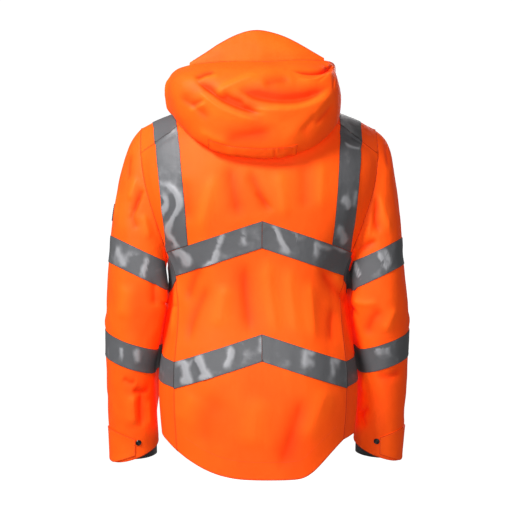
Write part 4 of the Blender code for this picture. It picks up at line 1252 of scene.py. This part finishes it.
def finish_sheet(node, wall, outside, inside, slot):
    """Gives a sheet its wall and finishes, and works out the size of its cut."""
    skin = SKINS[node]
    made = skin.made
    area = sum(face.area for face in made.data.polygons)
    seam_map(skin)
    if not made.data.attributes.get("fold"):
        keep_height(skin, np.zeros(len(skin.points)))
    made.data.attributes.remove(made.data.attributes["crease_vert"])
    made.data.materials.append(finish(outside))
    made.data.materials.append(finish(inside))
    thick = made.modifiers.new("wall", "SOLIDIFY")
    thick.thickness, thick.offset, thick.use_even_offset = wall, -1.0, False
    thick.material_offset = 1
    apply_all(made)
    bpy.ops.object.shade_smooth_by_angle(angle=math.radians(WALL_TURN))
    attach(made, "jacket")
    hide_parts(node)
    width, length = made["flat"]
    del made["flat"]
    area = min(area, width * length)
    cut = [round(side + HALF_MM, 3) for side in (width, length)]
    if slot == "tape":
        cut, area = [TAPE_WIDTH, area / TAPE_WIDTH], None


# ---------------------------------------------------------------- tape and small cloth lying on cloth
TAPE_SPREAD = 1.5        # creases run out this much wider in the tape than they were drawn
TAPE_CLEAR = 0.0003      # between the tape and the cloth under it
TAPE_WRINKLE = 0.0005    # height of the tape's fine wrinkles
FULL_CREASE = 0.0014     # a crease this high takes the full painted highlight


def lay_on(skin, ground, lift, rounds=5):
    """Lays a sheet on the cloth under it, its underside just clear of it."""
    edges, rim = skin.edges(), skin.on_rim()

    def down(points, exact):
        out = points.copy()
        for i, point in enumerate(points):
            where, facing, _, _ = ground.find_nearest(Vector(point))
            if exact or (Vector(point) - where).dot(facing) < lift:
                out[i] = where + facing * lift
        return out

    points = down(skin.points, True)
    for _ in range(rounds):
        points = np.where(rim[:, None], points, points * 0.5 + skin.mean_beside(points, edges) * 0.5)
    skin.move(down(points, False))


def lay_sheets(names, ground, heart, levels=3):
    """Lays the tapes on the cloth under them and presses their own creases and wrinkles in."""
    lift = TAPE_CLEAR + sizes().tape_wall
    for name in names:
        skin = cloth_sheet(name, name + "_tape", levels, heart)
        lay_on(skin, ground, lift)
        own = tree_of(name)
        drawn = np.zeros(len(skin.points))
        for view, wide, depth, line in folds(name):
            line, facing = onto(own, view, line)
            wide = [TAPE_SPREAD * side for side in wide]
            drawn += fold_height(skin.points, skin.normals, line, facing, wide, depth)
        seed = sum(map(ord, name)) % 97
        fine = uneven(skin.points, (0.016, 0.016, 0.022), seed)
        fine = fine + 0.6 * uneven(skin.points, (0.008, 0.008, 0.010), seed + 1)
        broad = uneven(skin.points, (0.05, 0.05, 0.05), seed + 2)
        rough = TAPE_WRINKLE * (fine * np.clip(0.45 + 0.9 * broad, 0.1, 1.2))
        drawn = drawn * sizes().fold_depth
        lifted = drawn + rough
        lowest = max(-lifted.min(initial=0.0), SHORT)
        skin.raise_by(np.where(lifted < 0, lifted * min(1.0, lift * 0.4 / lowest), lifted))
        # The kept crease heights set where the tape's finish paints its highlights.
        keep_height(skin, drawn / FULL_CREASE + rough / FULL_CREASE * 0.5)


# ---------------------------------------------------------------- operators: cloth
SMALL_LIFT = 0.0021    # straps and the hood's strip stand this far off the cloth under them


def arm_rings():
    """The sleeves' open ends at the armholes."""
    rings = []
    for node in SLEEVES:
        skin = SKINS[node]
        rings.append(skin.points[max(skin.rims(), key=lambda ring: skin.points[ring, 2].mean())][::3])
    return rings


def arm_line(node):
    """Two points on the middle of a sleeve or cuff, at its bottom and its top."""
    points = np.array([point.co for point in frame["nodes"][node].data.vertices])
    low, high = points[:, 2].min(), points[:, 2].max()
    ends = []
    for share in (0.12, 0.72):
        z = low + share * (high - low)
        band = points[np.abs(points[:, 2] - z) < 0.16 * (high - low)]
        centre = (band.min(axis=0) + band.max(axis=0)) / 2
        ends.append((centre[0], centre[1], z))
    return ends


def heart_of(place, side="left"):
    """The point inside the jacket that the pieces of a place face away from."""
    x, y, z = HEARTS[place]
    return (x if side == "left" else -x, y, z)


class JACKET_OT_panels(bpy.types.Operator):
    """Cuts and drapes the back, the two fronts and the two sleeves"""
    bl_idname = "jacket.panels"
    bl_label = "Back, fronts and sleeves"

    def execute(self, context):
        for node in PANELS:
            cloth_sheet(node, node + "_cloth", heart=heart_of("panels"))
        for node, side in zip(SLEEVES, SIDES):
            cloth_sheet(node, node + "_cloth", heart=heart_of("arm", side), arm=arm_line(node))
        rings = arm_rings()
        collar = frame["nodes"]["collar"].data.vertices
        neck = [np.array([point.co for point in collar if point.co.z < -0.01])]
        draw_folds(PANELS, "body", rings + neck)
        for node, ring in zip(SLEEVES, rings):
            draw_folds([node], node, [ring])
        level_seams()
        return {"FINISHED"}


class JACKET_OT_hood(bpy.types.Operator):
    """Shapes the folded-down hood with its peak, deep creases and the gathered strip at its bottom"""
    bl_idname = "jacket.hood"
    bl_label = "Hood"

    def execute(self, context):
        cloth_sheet("hood", "hood_cloth", rim=HOOD_RIM)
        cloth_sheet("hood_visor", "hood_visor_cloth")
        draw_folds(["hood", "hood_visor"], "hood")
        tuck(SKINS["hood_visor"], "hood")
        strip = cloth_sheet("hood_casing", "hood_casing_cloth", 4)
        lay_on(strip, tree_of("hood"), SMALL_LIFT)
        gathered = smoothstep((0.05 - np.abs(strip.points[:, 0] + 0.035)) / 0.03)
        height = 0.0009 * uneven(strip.points, (0.006, 0.02, 0.03), 31) * gathered
        height += 0.0005 * uneven(strip.points, (0.016, 0.03, 0.02), 32)
        strip.raise_by(height)
        keep_height(strip, height / 0.0012)
        return {"FINISHED"}


class JACKET_OT_collar(bpy.types.Operator):
    """Shapes the standing collar"""
    bl_idname = "jacket.collar"
    bl_label = "Collar"

    def execute(self, context):
        skin = cloth_sheet("collar", "collar_cloth", heart=heart_of("collar"))
        height = 0.0008 * uneven(skin.points, (0.03, 0.03, 0.03), 41)
        away = smoothstep((skin.points[:, 2] - skin.points[:, 2].min()) / 0.03)
        skin.raise_by(height * away)
        skin.move(toward("collar", PANELS, reach=0.0085, spread=0.016, share=0.6))
        moved = {node: toward(node, ["collar"], reach=0.0065, spread=0.016, share=1.0) for node in PANELS}
        for node, points in moved.items():
            SKINS[node].move(points)
        keep_height(skin, height / 0.002)
        return {"FINISHED"}


class JACKET_OT_tapes(bpy.types.Operator):
    """Lays the reflective chevrons, braces and bands on the cloth under them"""
    bl_idname = "jacket.tapes"
    bl_label = "Reflective tape"

    def execute(self, context):
        lay_sheets(BODY_TAPES, tree_of(*PANELS), heart_of("tapes"))
        for side in SIDES:
            lay_sheets(ARM_TAPES[side], tree_of(f"sleeve_{side}"), heart_of("arm", side), levels=2)
        return {"FINISHED"}


class JACKET_OT_cuffs(bpy.types.Operator):
    """Makes the cuff straps, the black inner cuffs and the plain patch on the sleeve"""
    bl_idname = "jacket.cuffs"
    bl_label = "Cuffs and patch"

    def execute(self, context):
        for side in SIDES:
            node = f"cuff_strap_{side}"
            strap = cloth_sheet(node, node + "_cloth", heart=heart_of("strap", side))
            lay_on(strap, tree_of(f"sleeve_{side}"), SMALL_LIFT)
            # A steady fold value: the strap's finish paints it with a little less fold shade than flat cloth.
            keep_height(strap, np.full(len(strap.points), 0.25))
            node = f"cuff_inner_{side}"
            cuff = cloth_sheet(node, node + "_knit", heart=heart_of("cuff", side), arm=arm_line(node))
            cuff.raise_by(0.0006 * uneven(cuff.points, (0.012, 0.012, 0.05), 51))
        patch = cloth_sheet("sleeve_patch", "sleeve_patch_cloth", heart=heart_of("patch"))
        lay_on(patch, tree_of("sleeve_left"), 0.0016)
        return {"FINISHED"}


def stitch_rows():
    """Rows of places by the colour of their thread: one beside each edge, a second over the tail's hem."""
    rows = {"orange": [], "grey": [], "black": []}
    for node, skin in SKINS.items():
        if node.startswith("cuff_inner"):
            continue
        tape = skin.made.name.endswith("_tape")
        colour = "grey" if tape else "black" if node == "sleeve_patch" else "orange"
        for run in runs(skin):
            rows[colour].append(row_beside(skin, run, sizes().edge_row, 0.002))
        if node == "back":
            tail = [run for run in runs(skin) if skin.points[run, 2].mean() < -0.66]
            rows[colour] += [row_beside(skin, run, sizes().hem_row, 0.004) for run in tail]
    return rows


class JACKET_OT_walls(bpy.types.Operator):
    """Gives every sheet its thickness and finish, and sews the rows of stitches"""
    bl_idname = "jacket.walls"
    bl_label = "Cloth and stitches"

    def execute(self, context):
        wall, tape = sizes().shell_wall, sizes().tape_wall
        rows = stitch_rows()
        for node in (*PANELS, *SLEEVES, "hood", "collar"):
            close_seam(SKINS[node])
        for colour, places in rows.items():
            sew(colour + "_stitching", places, colour + "_thread", "tape" if colour == "grey" else "shell")
        for node in (*PANELS, *SLEEVES):
            finish_sheet(node, wall, "shell", "lining", "shell")
        for node, cloth in (("hood", "hood"), ("hood_visor", "hood"), ("hood_casing", "shell")):
            finish_sheet(node, wall, cloth, "shell", "shell")
        for node, thick in (("collar", COLLAR_WALL), ("cuff_strap_left", wall), ("cuff_strap_right", wall)):
            finish_sheet(node, thick, "shell", "shell", "shell")
        for node in (*BODY_TAPES, *ARM_TAPES["left"], *ARM_TAPES["right"]):
            finish_sheet(node, tape, "tape", "lining", "tape")
        for side in SIDES:
            finish_sheet(f"cuff_inner_{side}", wall, "rib", "rib", "lining")
        finish_sheet("sleeve_patch", PATCH_WALL, "lining", "lining", "lining")
        return {"FINISHED"}


# ---------------------------------------------------------------- operators: hard pieces
def start_edit(made):
    only(made)
    bpy.ops.object.mode_set(mode="EDIT")
    bpy.ops.mesh.select_mode(type="FACE")


def pick_faces(made, wanted):
    """Selects in edit mode the faces for which wanted(centre, normal) holds."""
    form = bmesh.from_edit_mesh(made.data)
    for face in form.faces:
        face.select_set(bool(wanted(face.calc_center_median(), face.normal)))
    form.select_flush_mode()
    bmesh.update_edit_mesh(made.data)


def grow(rise, size):
    """Extrudes the selected faces by rise and scales their ends."""
    bpy.ops.mesh.extrude_region_move(TRANSFORM_OT_translate={"value": rise})
    bpy.ops.transform.resize(value=size)


def replace_hard(made, node, finish_name):
    """Gives a hard piece its finish and puts it in a node's place."""
    made.data.materials.clear()
    made.data.materials.append(finish(finish_name))
    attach(made, "jacket")
    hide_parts(node)


STUD_RADIUS = 0.0062
STUD_CLEAR = 0.0002    # between the stud's base and the cloth
# The stud's profile from its base: how far each ring rises and how much it shrinks from the one before.
STUD_RINGS = ((0.0008, 1.0), (0.0007, 0.93), (0.0003, 0.83), (-0.0001, 0.80), (-0.0004, 0.90),
              (0.0002, 0.80), (0.0002, 0.62), (-0.0001, 0.55), (-0.0003, 0.60))


def turned_stud(name, place, facing):
    """A press stud's cap, standing at a place along the way it faces."""
    bpy.ops.object.select_all(action="DESELECT")
    bpy.ops.mesh.primitive_circle_add(vertices=40, radius=STUD_RADIUS, fill_type="NGON")
    stud = bpy.context.active_object
    start_edit(stud)
    bpy.ops.mesh.select_all(action="SELECT")
    for rise, shrink in STUD_RINGS:
        grow((0, 0, rise), (shrink, shrink, 1.0))
    bpy.ops.object.mode_set(mode="OBJECT")
    form = bmesh.new()
    form.from_mesh(stud.data)
    bmesh.ops.remove_doubles(form, verts=form.verts, dist=SAME_PLACE)
    bmesh.ops.holes_fill(form, edges=[edge for edge in form.edges if edge.is_boundary], sides=0)
    bmesh.ops.recalc_face_normals(form, faces=form.faces)
    turn = facing.to_track_quat("Z", "Y").to_matrix().to_4x4()
    form.transform(Matrix.Translation(place) @ turn)
    form.to_mesh(stud.data)
    form.free()
    stud.matrix_world = Matrix.Identity(4)
    stud.name = stud.data.name = name
    round_off = stud.modifiers.new("round", "SUBSURF")
    round_off.levels = round_off.render_levels = 1
    apply_all(stud)
    bpy.ops.object.shade_smooth_by_angle(angle=math.radians(50))
    return stud


class JACKET_OT_studs(bpy.types.Operator):
    """Turns the press studs: a domed cap with a rolled rim and a dimple"""
    bl_idname = "jacket.studs"
    bl_label = "Press studs"

    def execute(self, context):
        for side in SIDES:
            low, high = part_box(f"stud_{side}")
            where, facing, _, _ = tree_of(f"sleeve_{side}").find_nearest((low + high) / 2)
            stud = turned_stud(f"press_stud_{side}", where + facing * STUD_CLEAR, facing)
            replace_hard(stud, f"stud_{side}", "metal")
        return {"FINISHED"}


TOOTH = (0.0030, 0.0026, 0.0015)    # across, deep and along the zip, before its neck and head
ZIP_END = 0.004                     # from the end of the tape to the first tooth
TOOTH_SINK = 0.0016                 # from the chain's face in to the teeth's middle


def moulded_tooth():
    """The mesh of one tooth, its head toward -x."""
    bpy.ops.object.select_all(action="DESELECT")
    bpy.ops.mesh.primitive_cube_add(size=1, location=(0.0018, 0, 0))
    tooth = bpy.context.active_object
    tooth.scale = TOOTH
    bpy.ops.object.transform_apply(location=True, rotation=True, scale=True)
    start_edit(tooth)
    pick_faces(tooth, lambda centre, normal: normal.x < -0.9)
    grow((-0.0006, 0, 0), (1.0, 0.82, 1.45))
    grow((-0.0008, 0, 0), (1.0, 0.8, 0.72))
    bpy.ops.object.mode_set(mode="OBJECT")
    edge = tooth.modifiers.new("edge", "BEVEL")
    edge.width, edge.segments, edge.limit_method = 0.00022, 1, "ANGLE"
    apply_all(tooth)
    bpy.ops.object.shade_smooth_by_angle(angle=math.radians(40))
    model = tooth.data.copy()
    bpy.data.objects.remove(tooth)
    return model


class JACKET_OT_zip(bpy.types.Operator):
    """Makes the moulded teeth and the woven tape of the front zip"""
    bl_idname = "jacket.zip"
    bl_label = "Zip"

    def execute(self, context):
        cloth_sheet("zip_tape", "zip_tape_webbing", heart=heart_of("zip"))
        finish_sheet("zip_tape", WEBBING_WALL, "webbing", "webbing", "zip")
        chain = outer_face("zip_chain", heart=heart_of("zip"))
        side_points = [(0.0, point.co.y, point.co.z) for point in chain.verts if point.co.x > 0.001]
        spine = np.array(sorted(side_points, key=lambda point: point[2]))
        chain.free()
        gone = way_gone(spine)
        model = moulded_tooth()
        teeth = bmesh.new()
        steps = (-ZIP_END, 0, ZIP_END)
        for number, distance in enumerate(np.arange(ZIP_END, gone[-1] - ZIP_END, sizes().tooth_pitch / 2)):
            back, place, ahead = [Vector(part_way(spine, gone, distance + step)) for step in steps]
            up = (ahead - back).normalized()
            out = Vector((0, -up.z, up.y)).normalized()
            out = out if out.y < 0 else -out
            side = 1 if number % 2 else -1
            turn = Matrix((out.cross(up) * side, out * side, up)).transposed().to_4x4()
            one = model.copy()
            one.transform(Matrix.Translation(place - out * TOOTH_SINK) @ turn)
            teeth.from_mesh(one)
            bpy.data.meshes.remove(one)
        mesh = bpy.data.meshes.new("zip_teeth_row")
        teeth.to_mesh(mesh)
        teeth.free()
        replace_hard(add_object("zip_teeth_row", mesh), "zip_chain", "teeth")
        return {"FINISHED"}


class JACKET_OT_slider(bpy.types.Operator):
    """Gives the slider and its pull tab their enamel"""
    bl_idname = "jacket.slider"
    bl_label = "Slider and pull tab"

    def execute(self, context):
        for node in ("slider", "pull_tab"):
            cast = frame["nodes"][node]
            cast.data.materials.clear()
            cast.data.materials.append(finish("metal"))
        return {"FINISHED"}


# ---------------------------------------------------------------- stage
MIDDLE = (0, 0, -0.327)    # of the jacket
CAMERA_SHIFT = 0.0045      # the camera looks this far to the left of it
# The softboxes: place, aim, and width and height. Their powers are the stage's settings of the same names.
SOFTBOXES = {"key": ((1.42, 1.70, 1.26), (0, 0.05, -0.33), (0.7, 0.7)),
             "fill": ((0.1, 3.0, -0.55), (0, 0.05, -0.33), (2.0, 2.0)),
             "front": ((-0.9, -2.6, 0.9), (0, 0, -0.35), (1.8, 1.6))}


def softbox(name, place, aim, size, power):
    light = bpy.data.lights.new(name, "AREA")
    light.shape, light.energy = "RECTANGLE", power
    light.size, light.size_y = size
    made = add_object(name, light)
    made.location = place
    made.rotation_mode = "QUATERNION"
    made.rotation_quaternion = (Vector(place) - Vector(aim)).to_track_quat("Z", "Y")


class JACKET_OT_stage(bpy.types.Operator):
    """Sets up the camera, the pale sweep and the soft lights"""
    bl_idname = "jacket.stage"
    bl_label = "Stage"

    def execute(self, context):
        scene, stage = context.scene, context.scene.jacket_stage
        away = Vector((math.sin(stage.azimuth), -math.cos(stage.azimuth), 0))
        right = Vector((math.cos(stage.azimuth), math.sin(stage.azimuth), 0))
        target = Vector(MIDDLE) - right * CAMERA_SHIFT
        data = bpy.data.cameras.new("camera")
        data.lens, data.sensor_width, data.clip_end = stage.lens, 36.0, 60.0
        camera = add_object("camera", data)
        camera.location = target + away * stage.distance
        camera.rotation_mode = "QUATERNION"
        camera.rotation_quaternion = away.to_track_quat("Z", "Y")
        scene.camera = camera

        for name, (place, aim, size) in SOFTBOXES.items():
            softbox(name, place, aim, size, getattr(stage, name))

        world = bpy.data.worlds.new("surround")
        world.use_nodes = True
        surround = world.node_tree.nodes["Background"].inputs
        surround["Color"].default_value = (1, 1, 1, 1)
        surround["Strength"].default_value = stage.sky
        scene.world = world
        scene.view_settings.view_transform = "Standard"

        paper = bpy.data.materials.new("pale_paper")
        paper.use_nodes = True
        for socket, value in (("Base Color", (0.85, 0.85, 0.85, 1)), ("Roughness", 0.9),
                              ("Emission Color", (1, 1, 1, 1)), ("Emission Strength", 0.85)):
            paper.node_tree.nodes["Principled BSDF"].inputs[socket].default_value = value
        bpy.ops.object.select_all(action="DESELECT")
        bpy.ops.mesh.primitive_plane_add(size=24, location=(0, 0, -1.25))
        floor = context.active_object
        bpy.ops.object.transform_apply(location=True, rotation=True, scale=True)
        bpy.ops.mesh.primitive_uv_sphere_add(segments=48, ring_count=24, radius=11, location=(0, 0, 0))
        sweep = context.active_object
        for made, name in ((floor, "floor"), (sweep, "sweep")):
            made.name = made.data.name = name
            made.data.materials.append(paper)
            made.visible_diffuse = made.visible_glossy = made.visible_shadow = False
        return {"FINISHED"}


class JACKET_PT_panel(bpy.types.Panel):
    """Shows the jacket's settings and a button for each of its steps"""
    bl_idname = "JACKET_PT_panel"
    bl_label = "Hi-vis jacket"
    bl_space_type = "VIEW_3D"
    bl_region_type = "UI"
    bl_category = "Jacket"

    def draw(self, context):
        scene = context.scene
        for settings in (scene.jacket_sizes, scene.jacket_colours, scene.jacket_stage):
            box = self.layout.box()
            for name in settings.__annotations__:
                box.prop(settings, name)
        for operator in OPERATORS:
            self.layout.operator(operator.bl_idname)


SETTINGS = (JacketSizes, JacketColours, JacketStage)
OPERATORS = (JACKET_OT_panels, JACKET_OT_hood, JACKET_OT_collar, JACKET_OT_tapes, JACKET_OT_cuffs,
             JACKET_OT_walls, JACKET_OT_studs, JACKET_OT_zip, JACKET_OT_slider, JACKET_OT_stage)


def register():
    for part in (*SETTINGS, *OPERATORS, JACKET_PT_panel):
        bpy.utils.register_class(part)
    bpy.types.Scene.jacket_sizes = PointerProperty(type=JacketSizes)
    bpy.types.Scene.jacket_colours = PointerProperty(type=JacketColours)
    bpy.types.Scene.jacket_stage = PointerProperty(type=JacketStage)


def unregister():
    for name in ("jacket_sizes", "jacket_colours", "jacket_stage"):
        delattr(bpy.types.Scene, name)
    for part in reversed((*SETTINGS, *OPERATORS, JACKET_PT_panel)):
        bpy.utils.unregister_class(part)


def main():
    register()
    for operator in OPERATORS:
        group, name = operator.bl_idname.split(".")
        getattr(getattr(bpy.ops, group), name)()


if __name__ == "__main__":
    main()
